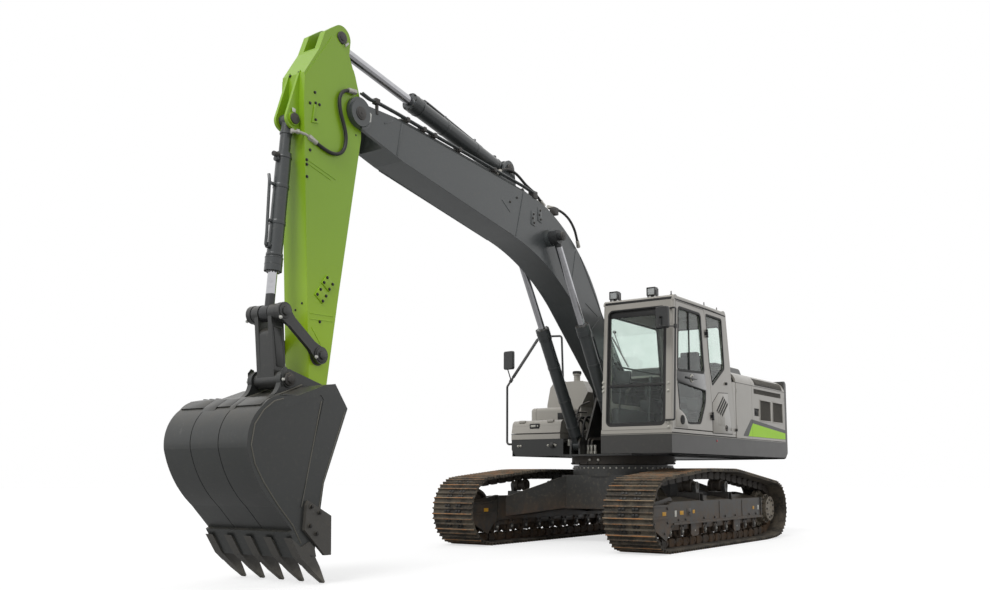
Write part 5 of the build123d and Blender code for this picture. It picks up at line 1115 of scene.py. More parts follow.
# beside each louvre lip lies a flat black strip that stands for the shade in its slot: painted shade
louvres, lips = [], []
for i in range(4):
    share = i / 3
    top = Vector((-0.135, 1.848)).lerp(Vector((-0.268, 1.768)), share)
    foot = Vector((0.088, 1.648)).lerp(Vector((-0.078, 1.604)), share)
    way = (foot - top).normalized()
    aside = Vector((-way.y, way.x)) * 0.0135
    run = [tuple(top + aside), tuple(top - aside), tuple(foot - aside), tuple(foot + aside)]
    louvres.append(cut_plate(run, SIDE + 0.0025, SIDE + 0.004, 0))
    lips.append(cut_plate([tuple(top - aside * 1.0), tuple(top - aside * 1.7), tuple(foot - aside * 1.7),
        tuple(foot - aside * 1.0)], SIDE + 0.0028, SIDE + 0.0085, 0.002))
for i in range(5):
    x = 0.02 - 0.042 * i
    louvres.append(slab_of((x - 0.004, x), (SIDE + 0.0025, SIDE + 0.004), (1.47, 1.592), 0))
    lips.append(slab_of((x, x + 0.008), (SIDE + 0.0028, SIDE + 0.006), (1.47, 1.592), 0.002))
moulded(louvres, "service_louvre_shade_strips")
settle(lips, "service_louvre_lips", "upper", cab_paint, "cab_paint")
bpy.ops.mesh.primitive_torus_add(location=(-0.222, SIDE + 0.004, 1.452), rotation=(pi / 2, 0, 0),
    major_radius=0.032, minor_radius=0.006, major_segments=36, minor_segments=10)
lock = joined(bpy.context.object, disc(-0.222, 1.452, SIDE + 0.002, SIDE + 0.009, 0.016, 24, 0.002))
settle(lock, "service_lock", "upper", steel_dark, "pin_steel")
stops = [disc(x, z, SIDE - 0.002, SIDE + 0.022, 0.02, 24, 0.005)
    for x, z in ((-0.225, 2.02), (-0.536, 1.44))]
moulded(stops, "rubber_stops")

# roof: a drip strip along the front edge, a gutter, lamps with ribbed lenses, lifting eyes and a hatch
strip = slab_of((1.255, 1.292), (0.47, 1.355), (2.893, 2.93), 0.006)
moulded(strip, "roof_front_strip")
gutter = hose(((1.245, SIDE - 0.004, 2.905), (0.6, SIDE + 0.002, 2.908), (0.05, SIDE + 0.002, 2.908),
    (-0.262, SIDE - 0.004, 2.9)), 0.009, False)[0]
moulded(gutter, "roof_gutter")
lens = Finish("lamp_lens", tone(196, 200, 200), 0.16, **{"Coat Weight": 0.8})
across = lens.node("ShaderNodeSeparateXYZ", {}, {0: lens.place()}, "Y")
ribs = (across * 620).wave()
lens.raise_by(ribs, 0.002)
# the lens colour is striped lighter and darker in step with the rib wave: painted highlight and shade on
# the ribs
lens.set("Base Color", lens.mix(ribs.band(-1, 1), tone(150, 156, 158), tone(222, 224, 222)))
LAMPS_Y = (0.539, 1.045)
for i, y in enumerate(LAMPS_Y):
    settle(slab_of((1.196, 1.203), about(y, 0.046), (2.994, 3.076), 0.003), f"lamp_lens_{i + 1}", "upper",
        lens, "lamp_plastic")
    rim = [slab_of((1.194, 1.212), about(y, 0.055), (z, z + 0.009), 0.003) for z in (2.985, 3.076)]
    rim += [slab_of((1.194, 1.212), (yy, yy + 0.009), (2.986, 3.084), 0.003)
        for yy in (y - 0.055, y + 0.046)]
    rim += [slab_of((1.146, 1.18), (yy, yy + 0.005), (2.961, 3.05), 0.002) for yy in (y - 0.061, y + 0.056)]
    rim.append(slab_of((1.146, 1.18), about(y, 0.061), (2.9605, 2.967), 0.002))
    rim += [slab_of((1.098 + 0.012 * k, 1.104 + 0.012 * k), about(y, 0.05), (2.992, 3.078), 0.002)
        for k in range(3)]
    settle(rim, f"lamp_housing_{i + 1}", "upper", black_trim, "lamp_plastic")
wires = [hose(((1.12, y, 3.03), (1.07, y, 3.02), (1.05, y + 0.03, 2.975), (1.04, y + 0.1, 2.966),
    (0.98, y + 0.16, 2.964)), 0.005, False)[0] for y in LAMPS_Y]
settle(wires, "lamp_wires", "upper", hose_rubber, "lamp_plastic")
eyes = []
for x, y in ((1.205, 1.31), (0.29, 1.325), (1.215, 0.64), (-0.17, 1.3), (-0.17, 0.52)):
    bpy.ops.mesh.primitive_torus_add(location=(x, y, 2.986), rotation=(pi / 2, 0, 0.4), major_radius=0.02,
        minor_radius=0.0065, major_segments=24, minor_segments=8)
    eyes += [bpy.context.object, post(x, y, 2.955, 2.97, 0.016, 20, 0.003)]
settle(eyes, "roof_eyes", "upper", steel_dark, "pin_steel")
hatch = slab_of((0.02, 0.86), (0.62, 1.2), (2.958, 2.974), 0.01)
settle(hatch, "roof_hatch", "upper", cab_paint, "cab_paint")
hatch_parts = [turned((0.84, y, 2.976), (0.9, y, 2.976), 0.011, 16, 0.003) for y in (0.74, 1.08)]
settle(hatch_parts, "roof_hatch_hinges", "upper", black_trim, "pin_steel")

# mirror glass faces the operator, a spiral sleeve wraps the sloping rail
mirror_glass = Finish("mirror_glass", (0.78, 0.81, 0.83), 0.03, Metallic=1.0)
mirror_glass.raise_by(mirror_glass.noise(3, 2), 0.0004)


def mirror_face(x, y, z, width, height, yaw, name):
    """A silvered glass with rounded corners, turned towards the seat."""
    made = round_corners(((-width / 2, -height / 2), (width / 2, -height / 2), (width / 2, height / 2),
        (-width / 2, height / 2)), 0.022)
    bpy.ops.mesh.select_all(action="SELECT")
    bpy.ops.mesh.extrude_region_move(TRANSFORM_OT_translate={"value": (0, 0.0035, 0)})
    bpy.ops.object.mode_set(mode="OBJECT")
    made.rotation_euler = (0, 0, radians(yaw + 90))
    made.location = (x, y, z)
    settle(made, name, "upper", mirror_glass, "cab_glass")


mirror_face(0.56 - 0.0185, -SIDE - 0.09 + 0.0026, 2.436, 0.145, 0.225, -8, "deck_mirror_glass")
mirror_face(1.515 - 0.0185, SIDE - 0.036 + 0.0032, 2.65, 0.142, 0.225, -10, "cab_mirror_glass")
low, high = Vector((0.58, -1.478, 2.07)), Vector((-0.275, -1.5, 2.87))
sleeve_points = []
way = (high - low).normalized()
side_one = way.cross(Vector((0, 1, 0))).normalized()
side_two = way.cross(side_one)
TURNS = 44
for i in range(TURNS * 8 + 1):
    share, turn = i / (TURNS * 8), 2 * pi * i / 8
    sleeve_points.append(low.lerp(high, 0.17 + 0.77 * share) + side_one * cos(turn) * 0.0175 + side_two
        * sin(turn) * 0.0175)
sleeve = hose(sleeve_points, 0.0058, False)[0]
settle(sleeve, "rail_sleeve", "upper", painted("sleeve_grey", tone(96, 97, 97), roughness=0.5, dust=0.2),
    "lamp_plastic")
settle(post(-0.275, -1.1, 2.178, 2.188, 0.045, 28, 0.003), "rail_foot", "upper", black_trim,
    "chassis_paint")

# interior: a cloth seat with a lime belt, consoles with levers, a display and the travel levers
console_plastic = painted("console_plastic", tone(52, 54, 54), roughness=0.5, dust=0.1, coat=0.0)
console_plastic.raise_by(console_plastic.noise(700, 2), 0.0004)
console_plastic.on("control_consoles")
seat_cloth = Finish("seat_cloth", tone(40, 42, 43), 0.92)
x, y, z = seat_cloth.axes()
weave = (x * 1900).wave() * (y * 1900).wave() + (z * 1900).wave() * 0.5
seat_cloth.raise_by(weave, 0.0008)
seat_cloth.set("Base Color", seat_cloth.mix(weave.band(-1, 1) * 0.5 + seat_cloth.noise(6, 4).band(0.35, 0.7)
    * 0.5, tone(32, 34, 35), tone(66, 68, 70)))
FLOOR = 1.3855


def cushion(middle, size, tilt, crown, channels):
    """A moulded foam pad in sewn cloth: crowned, with rounded sides and seams across it."""
    bpy.ops.mesh.primitive_cube_add(size=1, location=(0, 0, 0))
    made = bpy.context.object
    made.scale = [s * 0.93 for s in size]
    bpy.ops.object.transform_apply(location=True, rotation=True, scale=True)
    open_mesh()
    bpy.ops.mesh.subdivide(number_cuts=11)
    bpy.ops.object.mode_set(mode="OBJECT")
    half = [s * 0.93 / 2 for s in size]
    for vertex in made.data.vertices:
        u, v, w = (vertex.co[k] / half[k] for k in range(3))
        pinch = 1 - 0.1 * (abs(u) ** 6 + abs(v) ** 6) * (abs(w) > 0.5)
        vertex.co.z = half[2] * w * pinch + (crown * (1 - u * u) * (1 - v * v) if w > 0.9 else 0)
        seam = min((abs(vertex.co.x - line) for line in channels), default=1)
        if w > 0.6:
            vertex.co.z -= 0.012 * max(0, 1 - seam / 0.022)
    smooth = made.modifiers.new("smooth", "SUBSURF")
    smooth.levels = smooth.render_levels = 1
    bpy.context.view_layer.objects.active = made
    bpy.ops.object.modifier_apply(modifier="smooth")
    cloth = made.modifiers.new("cloth", "CLOTH")
    cloth.settings.use_pressure, cloth.settings.uniform_pressure_force = True, 2.5
    cloth.settings.effector_weights.gravity = 0
    cloth.settings.quality = 5
    rest = [vertex.co.copy() for vertex in made.data.vertices]
    for frame_number in range(1, 13):
        bpy.context.scene.frame_set(frame_number)
    bpy.ops.object.modifier_apply(modifier="cloth")
    for vertex, was in zip(made.data.vertices, rest):
        moved = vertex.co - was
        vertex.co = was + moved * min(1, 0.008 / max(moved.length, 1e-9))
    bpy.context.scene.frame_set(1)
    made.rotation_euler = (0, radians(tilt), 0)
    made.location = middle
    return made


SEAT_Y = 0.912
squab = cushion((0.165, SEAT_Y, 1.762), (0.47, 0.46, 0.118), 0, 0.02, (-0.1, 0.05))
back = cushion((-0.108, SEAT_Y, 2.11), (0.62, 0.44, 0.105), -100, 0.016, (-0.16, 0.02, 0.18))
headrest = cushion((-0.165, SEAT_Y, 2.4), (0.1, 0.26, 0.085), -100, 0.008, ())
base = slab_of((-0.03, 0.33), (0.73, 1.094), (1.386, 1.69), 0.03)
bellows = [slab_of((-0.045, 0.345), (0.715, 1.109), (1.43 + 0.06 * i, 1.465 + 0.06 * i), 0.014)
    for i in range(4)]
settle([base, *bellows], "seat_suspension", "upper", console_plastic, "console_plastic", "operator_seat")
for made, name in ((squab, "seat_squab"), (back, "seat_back"), (headrest, "seat_headrest")):
    settle(made, name, "upper", seat_cloth, "seat_cloth")
belt_lime = Finish("belt_lime", tone(150, 196, 60), 0.8)
belt_lime.raise_by((belt_lime.axes()[2] * 900).wave(), 0.0004)
belt = hose(((-0.02, 1.165, 1.72), (-0.06, 1.175, 1.85), (-0.1, 1.18, 2.02), (-0.16, 1.175, 2.22)), 0.012,
    False)[0]
settle(belt, "seat_belt", "upper", belt_lime, "seat_cloth")
levers = []
for y in (0.82, 1.0):
    levers += [turned((0.88, y, FLOOR), (0.8, y, 1.98), 0.011, 16, 0.002),
        turned((0.8, y, 1.94), (0.786, y, 2.06), 0.022, 20, 0.006),
        slab_of((0.86, 1.04), about(y, 0.045), (FLOOR + 0.02, FLOOR + 0.035), 0.005)]
levers += [slab_of((1.18, 1.22), (0.56, 0.76), (1.95, 2.1), 0.012),
    turned((1.2, 0.6, 1.6), (1.2, 0.62, 1.97), 0.012, 16, 0.002),
    slab_of((0.1, 1.22), (0.495, 0.6), (1.386, 1.66), 0.03)]
settle(levers, "cab_controls", "upper", console_plastic, "console_plastic")
lining = [slab_of((-0.48, 1.3), (0.49, 1.33), (FLOOR, FLOOR + 0.012), 0.003),
    slab_of((-0.43, -0.3), (0.5, 1.32), (1.4, 2.22), 0.03)]
settle(lining, "cab_lining", "upper", rubber, "console_plastic")
# a black strip along the cab's foot stands for the shadow in the gap under the cab: painted shadow
cab_foot = [slab_of((-0.556, 1.3745), (SIDE - 0.012, SIDE + 0.0006), (1.3385, 1.3475), 0.001),
    slab_of((1.362, 1.3748), (0.462, SIDE - 0.002), (1.3385, 1.3475), 0.001)]
moulded(cab_foot, "cab_base_shade_strip")


# ---------------------------------------------------------------- boom
# A welded box beam in graphite paint, on pins with bolted keepers. Steel pipes run along its top in clamps,
# with hoses at both ends.
GRAPHITE = tone(70, 74, 75)
boom_paint = painted("boom_paint", GRAPHITE, roughness=0.36, dust=0.22, coat=0.3)
boom_paint.on("boom")
BOOM_HALF = 0.18
# the pins, in X and Z: boom to arm, boom cylinders' heads, arm cylinder's foot
ARM_PIN, BOOM_ROD_PIN, ARM_FOOT_PIN = (5.3, 4.115), (2.12, 3.61), (2.83, 4.27)


def top_line(x):
    """How high the boom's top plate lies."""
    return 4.06 + (x - 2.617) * (4.232 - 4.06) / (4.823 - 2.617)


plates = []
for side in (1, -1):
    y = side * BOOM_HALF
    # splice at the boom's end casting
    for corners in (((4.7, 4.206), (4.728, 4.206), (4.79, 3.872), (4.77, 3.868)),
            ((4.96, 4.12), (4.976, 4.132), (4.848, 4.196), (4.836, 4.188)),
            ((0.975, 2.842), (0.992, 2.85), (1.262, 2.972), (1.25, 2.954)),
            ((3.045, 3.862), (3.062, 3.85), (2.902, 3.745), (2.884, 3.75))):
        plates.append(cut_plate(corners, y - side * 0.001, y + side * 0.0035, 0.0015))
seams = [weld([(x0, side * (BOOM_HALF + 0.001), z0), (x1, side * (BOOM_HALF + 0.001), z1)], 0.0045)
    for side in (1, -1) for x0, z0, x1, z1 in ((4.7, 4.205, 4.77, 3.868), (2.64, 4.045, 2.79, 3.5),
    (1.5, 3.58, 1.64, 2.99), (0.86, 2.87, 1.18, 2.61))]
corner_welds = []
for side in (1, -1):
    for run in (((2.64, 4.0575), (4.82, 4.2275)), ((2.83, 3.497), (4.64, 3.822)),
            ((0.08, 1.955), (0.853, 2.878), (1.38, 3.53))):
        corner_welds.append(weld([(x, side * (BOOM_HALF + 0.0006), z) for x, z in run], 0.005))
settle([*plates, *seams, *corner_welds], "boom_welds", "boom", boom_paint, "boom_paint")
settle([cut_plate(((x - 0.04, z - 0.09), (x + 0.045, z - 0.075), (x + 0.04, z + 0.085),
    (x - 0.035, z + 0.075)), side * 0.179, side * 0.1865, 0.004) for side in (1, -1)
    for x, z in ((2.44, 3.78), (2.3, 3.85))], "boom_side_pads", "boom", boom_paint, "boom_paint")
boom_bolts = []
for side in (1, -1):
    for x, z in ((2.425, 3.73), (2.45, 3.78), (2.435, 3.83), (2.285, 3.8), (2.315, 3.85), (2.295, 3.905),
            (2.765, 3.945), (2.9, 3.865)):
        boom_bolts.append(stand((x, side * (0.1865 if x < 2.5 else 0.18), z), (0, side, 0)))
bolts("boom_bolts", "boom", steel_dark, "pin_steel", 0.011, boom_bolts)
pin_caps = []
for side in (1, -1):
    for (x, z), y, radius in ((ARM_PIN, 0.202, 0.062), (BOOM_ROD_PIN, 0.392, 0.052),
            (ARM_FOOT_PIN, 0.138, 0.052)):
        pin_caps.append(disc(x, z, side * (y - 0.01), side * (y + 0.008), radius, 32, 0.004))
        pin_caps.append(disc(x, z, side * (y + 0.007), side * (y + 0.012), radius * 0.72, 32, 0.002))
        pin_caps.append(disc(x, z, side * (y + 0.011), side * (y + 0.016), 0.01, 16, 0.002))
settle(pin_caps, "boom_pin_caps", "boom", steel_dark, "pin_steel")
keepers = []
# curved keeper plate under the pin, its lock plate behind
for side in (1, -1):
    arc = [(5.3 + 0.148 * cos(a), 4.115 + 0.148 * sin(a))
        for a in (radians(d) for d in range(165, 262, 12))]
    arc += [(5.3 + 0.124 * cos(a), 4.115 + 0.124 * sin(a))
        for a in (radians(d) for d in range(261, 164, -12))]
    keepers.append(cut_plate(arc, side * 0.1795, side * 0.196, 0.003))
settle(keepers, "boom_pin_keepers", "boom", boom_paint, "boom_paint")
white_mark = painted("white_keeper", tone(206, 206, 200), roughness=0.4, dust=0.2, coat=0.0)
settle([cut_plate(((5.196, 4.06), (5.168, 4.072), (5.16, 4.15), (5.186, 4.158)), side * 0.195, side * 0.201,
    0.002) for side in (1, -1)], "boom_pin_locks", "boom", white_mark, "pin_steel")


def pipe(points, radius, bend=0.06):
    """A steel pipe: straight runs with short bends, each bend one point on either side of its corner."""
    eased = [points[0]]
    for before, corner, after in zip(points, points[1:], points[2:]):
        corner = Vector(corner)
        for other in (before, after):
            way = Vector(other) - corner
            eased.append(tuple(corner + way.normalized() * min(bend, way.length * 0.45)))
        eased.insert(-1, tuple(corner))
    eased.append(points[-1])
    return hose(eased, radius, False)[0]


boom_pipes = []
# up the back of the boom, over the bend and along the top
for y in (-0.12, -0.075, -0.03, 0.015, 0.06):
    run = [(0.61, y, 2.69), (1.32, y, 3.59), (1.64, y, 3.87), (2.18, y, 4.035),
        (2.56, y, top_line(2.56) + 0.035)]
    boom_pipes.append(pipe(run, 0.013, 0.12))
for y in (-0.06, -0.015):                               # the pair that goes on to the arm
    boom_pipes.append(pipe([(2.56, y, top_line(2.56) + 0.035), (3.1, y + 0.145, top_line(3.1) + 0.036),
        (4.4, y + 0.145, top_line(4.4) + 0.036), (4.7, y + 0.145, 4.255)], 0.013, 0.1))
# the pair along the left edge, over the end to the arm's hoses
for y, lift in ((0.186, 0.052), (0.158, 0.052)):
    boom_pipes.append(pipe([(2.42, y, 4.085), (2.62, y, top_line(2.62) + lift),
        (3.5, y, top_line(3.5) + lift), (4.45, y, top_line(4.45) + lift), (4.81, y, 4.285),
        (5.081, y, 4.302), (5.16, y, 4.297), (5.27, y, 4.322)], 0.0105, 0.05))
settle(boom_pipes, "boom_pipes", "boom", boom_paint, "pin_steel")
clamps = []
for x, z in ((1.08, 3.255), (1.5, 3.735), (2.18, 4.035), (2.5, 4.1)):
    clamps.append(slab_of(about(x, 0.03), (-0.145, 0.085), (z - 0.018, z + 0.03), 0.008))
CLAMPS_X = (3.2, 3.82, 4.224, 4.388, 4.64)
for x in CLAMPS_X:
    clamps.append(slab_of(about(x, 0.022), (0.068, 0.202), (top_line(x) + 0.02, top_line(x) + 0.07), 0.008))
    clamps.append(slab_of(about(x, 0.014), (0.1, 0.17), (top_line(x) - 0.004, top_line(x) + 0.03), 0.003))
clamps.append(slab_of((5.046, 5.106), (0.146, 0.202), (4.276, 4.33), 0.008))
clamps.append(slab_of((5.056, 5.082), (0.164, 0.188), (4.18, 4.28), 0.003))
for x, z in ((2.4, 4.06), (1.945, 3.975)):
    clamps.append(slab_of(about(x, 0.045), (0.115, 0.192), (z - 0.04, z + 0.05), 0.008))
settle(clamps, "boom_clamps", "boom", steel_dark, "pin_steel")
clamp_bolts = [stand((x, y, z), (0, 0, 1)) for x, z in ((1.08, 3.285), (1.5, 3.765), (2.18, 4.065),
    (2.5, 4.13)) for y in (-0.135, 0.078)]
clamp_bolts += [stand((x, y, top_line(x) + 0.07), (0, 0, 1)) for x in CLAMPS_X for y in (0.076, 0.144)]
bolts("boom_clamp_bolts", "boom", zinc, "pin_steel", 0.009, clamp_bolts)
# hoses over the hump to the arm cylinder's foot, and the loop down to the left boom cylinder
gather_hoses([((2.5, -0.02, 4.135), (2.6, -0.01, 4.215), (2.74, 0.055, 4.235), (2.86, 0.075, 4.13),
    (2.93, 0.08, 4.09), (3.02, 0.07, 4.13)), ((2.14, 0.13, 4.01), (2.3, 0.135, 4.105), (2.544, 0.15, 4.15),
    (2.72, 0.16, 4.222), (2.884, 0.165, 4.245), (3.02, 0.16, 4.205), (3.12, 0.15, 4.14)),
    ((1.99, 0.1, 4.03), (1.86, 0.15, 4.03), (1.72, 0.205, 3.96), (1.6, 0.225, 3.84), (1.52, 0.215, 3.72),
    (1.46, 0.2, 3.64))], 0.0155, "boom_top_hoses", "boom")

# ---------------------------------------------------------------- cylinders
# Honed tube in graphite paint with a bolted gland, fed by steel pipes strapped along the barrel. The rods
# are hard chrome, with painted eyes welded on.
barrel_paint = painted("barrel_paint", tone(54, 58, 59), roughness=0.32, dust=0.2, coat=0.3)
barrel_paint.on("boom_barrel_left", "boom_barrel_right", "arm_barrel", "bucket_barrel")


def rod_finish(name, eyes, reach):
    """Chrome on the rod, paint on its eyes."""
    rod = Finish(name, (0.8, 0.8, 0.82), 0.1, Metallic=1.0)
    x, y, z = rod.axes()
    film = rod.noise(22, 5).band(0.45, 0.75)
    painted_share = None
    for ex, ez in eyes:
        across, up = x - ex, z - ez
        near = (across * across + up * up).band(reach * reach + 0.0003, reach * reach - 0.0003)
        painted_share = near if painted_share is None else painted_share.most(near)
    shade = rod.mix(film * 0.4, (0.5, 0.5, 0.52), (0.32, 0.32, 0.33))
    rod.set("Base Color", rod.mix(painted_share, shade, tone(48, 49, 50)))
    rod.set("Roughness", film * 0.12 + painted_share * 0.3 + 0.09)
    rod.set("Metallic", 1 - painted_share)
    rod.raise_by(rod.noise(900, 2), 0.00006)
    return rod


# the cylinders' other pins, in X and Z
ARM_ROD_PIN, BUCKET_FOOT_PIN, BUCKET_ROD_PIN = (5.5, 4.77), (5.99, 3.872), (6.13, 2.18)
rod_finish("boom_rod_chrome", (BOOM_ROD_PIN,), 0.12).on("boom_rod_left", "boom_rod_right")
rod_finish("arm_rod_chrome", (ARM_ROD_PIN,), 0.13).on("arm_rod")
rod_finish("bucket_rod_chrome", (BUCKET_ROD_PIN,), 0.165).on("bucket_rod")


def cylinder_trim(name, foot, head, y, radius, barrel_length, body, out, neck=0.25):
    """Gland bolts, weld rings, ports and the feed pipe of one cylinder. out: which way its ports look."""
    foot, head = Vector((foot[0], y, foot[1])), Vector((head[0], y, head[1]))
    way = (head - foot).normalized()
    turn = Vector(out).normalized()
    turn = (turn - way * turn.dot(way)).normalized()
    aside = way.cross(turn)
    gland_end = foot + way * barrel_length
    parts, heads = [], []
    for at, wide, deep in ((barrel_length - 0.152, 0.006, 0.022), (neck + 0.012, 0.005, 0.018),
            (barrel_length - 0.118, 0.0115, 0.006), (barrel_length - 0.06, 0.0112, 0.005)):
        parts.append(turned(foot + way * at, foot + way * (at + deep), radius + wide, 40, 0.002))
    parts.append(turned(gland_end - way * 0.004, gland_end + way * 0.0035, radius - 0.006, 40, 0.002))
    for i in range(8):
        angle = 2 * pi * i / 8
        spot = gland_end + (turn * cos(angle) + aside * sin(angle)) * (radius - 0.004)
        heads.append(stand(spot, way))
    for at in (neck + 0.05, barrel_length - 0.205):      # port bosses
        base = foot + way * at + turn * (radius - 0.004)
        parts.append(turned(base, base + turn * 0.03, 0.026, 24, 0.004))
    near, far = foot + way * (neck + 0.05), foot + way * (barrel_length - 0.205)
    lift = turn * (radius + 0.038)
    parts.append(pipe([tuple(far + turn * (radius + 0.02)), tuple(far + lift),
        tuple(far + lift - way * 0.1), tuple(near + lift + way * 0.2 + aside * 0.03),
        tuple(near + lift + way * 0.14 + aside * 0.045)], 0.0135, 0.03))
    for share in (0.3, 0.72):
        spot = near.lerp(far, share)
        parts.append(turned(spot - way * 0.018, spot + way * 0.018, radius + 0.004, 40, 0.002))
        parts.append(turned(spot + turn * (radius - 0.01), spot + turn * (radius + 0.045), 0.016, 6, 0.003))
    settle(parts, f"{name}_trim", body, barrel_paint, "boom_paint")
    bolts(f"{name}_gland_bolts", body, steel_dark, "pin_steel", 0.0085, heads)


for word, side in (("left", 1), ("right", -1)):
    cylinder_trim(f"boom_cylinder_{word}", (0.68, 1.25), BOOM_ROD_PIN, side * 0.285, 0.077, 1.64,
        "boom_barrels", (-1, side * 0.35, 0))
cylinder_trim("arm_cylinder", ARM_FOOT_PIN, ARM_ROD_PIN, 0.0, 0.085, 1.6, "arm_barrel", (0, 0, 1), 0.1)
cylinder_trim("bucket_cylinder", BUCKET_FOOT_PIN, BUCKET_ROD_PIN, 0.0, 0.065, 1.34, "bucket_barrel",
    (1, 0, 0), 0.32)
settle(turned((6.055, 0.0, 3.872 - 0.33), (6.15, 0.02, 3.872 - 0.335), 0.022, 24, 0.004),
    "bucket_cylinder_port", "bucket_barrel", steel_dark, "pin_steel")

# ---------------------------------------------------------------- arm
# A welded box in lime green enamel with a clear gloss. Bosses and pads are welded to its sides, and pipe
# blocks and pin retainers are bolted on.
ARM_HALF = 0.14
LIME = tone(136, 176, 30)
arm_paint = painted("arm_paint", LIME, roughness=0.38, dust=0.04, coat=0.18)
x, y, z = arm_paint.axes()
shade = arm_paint.shade()
# the paint turns brighter and yellower towards the arm's foot, below about 3.6 m: painted light
arm_paint.set("Base Color", arm_paint.mix((z + arm_paint.noise(0.8, 3) * 0.6).band(3.6, 1.9) * 0.85, shade,
    tone(166, 204, 6)))
arm_paint.on("arm")
green_parts, studs, dark_discs = [], [], []
for side in (1, -1):
    wall = side * ARM_HALF
    for x, z in ((5.814, 4.152), (5.867, 4.039), (5.802, 4.06), (5.757, 4.059), (5.797, 3.91),
            (5.692, 2.155)):
        studs.append(stand((x, wall, z), (0, side, 0)))
    green_parts.append(cut_plate(((5.806, 4.045), (5.822, 4.042), (5.84, 3.892), (5.824, 3.89)), wall,
        wall + side * 0.01, 0.002))
    green_parts.append(cut_plate(((5.772, 3.886), (5.843, 3.872), (5.845, 3.888), (5.774, 3.902)), wall,
        wall + side * 0.01, 0.002))
    for x0, z0, x1, z1 in ((5.879, 3.531, 5.542, 3.441), (5.872, 3.497, 5.604, 3.425),
            (5.809, 2.214, 5.537, 2.222), (5.807, 2.165, 5.536, 2.176), (5.786, 2.096, 5.676, 1.96)):
        green_parts.append(weld([(x0, wall + side * 0.0005, z0), (x1, wall + side * 0.0005, z1)], 0.0035))
    # square plates for the pipe brackets, turned to follow the edge
    for across, up in ((5.61, 2.5), (5.685, 2.385)):
        lean = Vector((0.8, 0.6)) * 0.058
        over = Vector((-0.6, 0.8)) * 0.05
        middle = Vector((across, up))
        green_parts.append(cut_plate([tuple(middle + lean + over), tuple(middle - lean + over),
            tuple(middle - lean - over), tuple(middle + lean - over)], wall - side * 0.001,
            wall + side * 0.01, 0.003))
        for u, v in ((0.7, 0.62), (0.7, -0.62), (-0.7, 0.62), (-0.7, -0.62)):
            spot = middle + lean * u + over * v
            studs.append(stand((spot.x, wall + side * 0.01, spot.y), (0, side, 0)))
    for x, z in ((5.853, 3.625), (5.888, 3.529), (5.886, 3.489), (5.88, 3.383)):
        studs.append(stand((x, wall, z), (0, side, 0)))
    # a sunk head, clear of the boom
    studs.append(stand((5.299, wall - side * 0.0085, 3.921), (0, side, 0)))
    dark_discs.append(disc(*ARM_ROD_PIN, side * 0.13, side * 0.15, 0.056, 36, 0.004))
    dark_discs.append(disc(*BUCKET_FOOT_PIN, side * 0.088, side * 0.104, 0.048, 36, 0.004))
    dark_discs.append(disc(*ARM_ROD_PIN, side * 0.148, side * 0.156, 0.03, 36, 0.003))
for x, y, z in ((5.8366, 0.076, 2.3), (5.8336, -0.006, 2.25)):     # two low heads on the front face
    studs.append(stand((x - 0.004, y, z), (1, 0, 0)))
# and two on the slope over the bucket cylinder's ears
for y, z in ((0.062, 4.31), (-0.04, 4.298)):
    studs.append(stand((5.77 + (4.57 - z) * 0.611 - 0.001, y, z), (0.853, 0, 0.521)))
settle(green_parts, "arm_bosses", "arm", arm_paint, "arm_paint")
bolts("arm_bolts", "arm", bolt_black, "arm_paint", 0.0105, studs)
settle(dark_discs, "arm_pin_caps", "arm", steel_dark, "pin_steel")
tabs = []
for side in (1, -1):
    tabs.append(cut_plate(((5.455, 4.7), (5.44, 4.712), (5.412, 4.742), (5.424, 4.755), (5.462, 4.722)),
        side * 0.134, side * 0.146, 0.002))
    tabs.append(cut_plate(((5.985, 3.955), (6.02, 3.96), (6.018, 3.925), (5.988, 3.922)), side * 0.088,
        side * 0.0975, 0.002))
settle(tabs, "arm_pin_locks", "arm", white_mark, "pin_steel")
hinge_discs = [disc(x, z, side * (ARM_HALF - 0.001), side * (ARM_HALF + 0.0035), r, 36, 0.002)
    for side in (1, -1) for x, z, r in ((5.71, 1.86, 0.086), (5.695, 1.5, 0.092))]
settle(hinge_discs, "arm_wear_washers", "arm", steel_dark, "pin_steel")

# the S-shaped hoses from the boom to the bucket cylinder ride on the arm, with fittings at both ends
arm_hose = ((5.35, 0.164, 4.307), (5.43, 0.164, 4.296), (5.505, 0.164, 4.262), (5.545, 0.164, 4.18),
    (5.525, 0.164, 4.06), (5.475, 0.164, 3.958), (5.44, 0.164, 3.84), (5.47, 0.164, 3.712),
    (5.574, 0.16, 3.653), (5.723, 0.154, 3.675), (5.868, 0.144, 3.733))
gather_hoses([arm_hose], 0.0165, "arm_hoses", ("boom", "arm", (5.4, 0, 4.3), (5.4, 0, 3.85)))
feed = [pipe([(5.862, 0.144, 3.731), (5.905, 0.138, 3.748), (5.975, 0.12, 3.756), (6.03, 0.094, 3.745)],
    0.0125, 0.03)]
for x, y, z in ((5.966, 0.122, 3.757), (6.012, 0.104, 3.752)):
    feed.append(rounded(turned((x, y, z), (x + 0.022, y - 0.008, z - 0.003), 0.024, 6), 0.003, angle=30))
settle(feed, "arm_feed_pipe", "arm", zinc, "pin_steel")

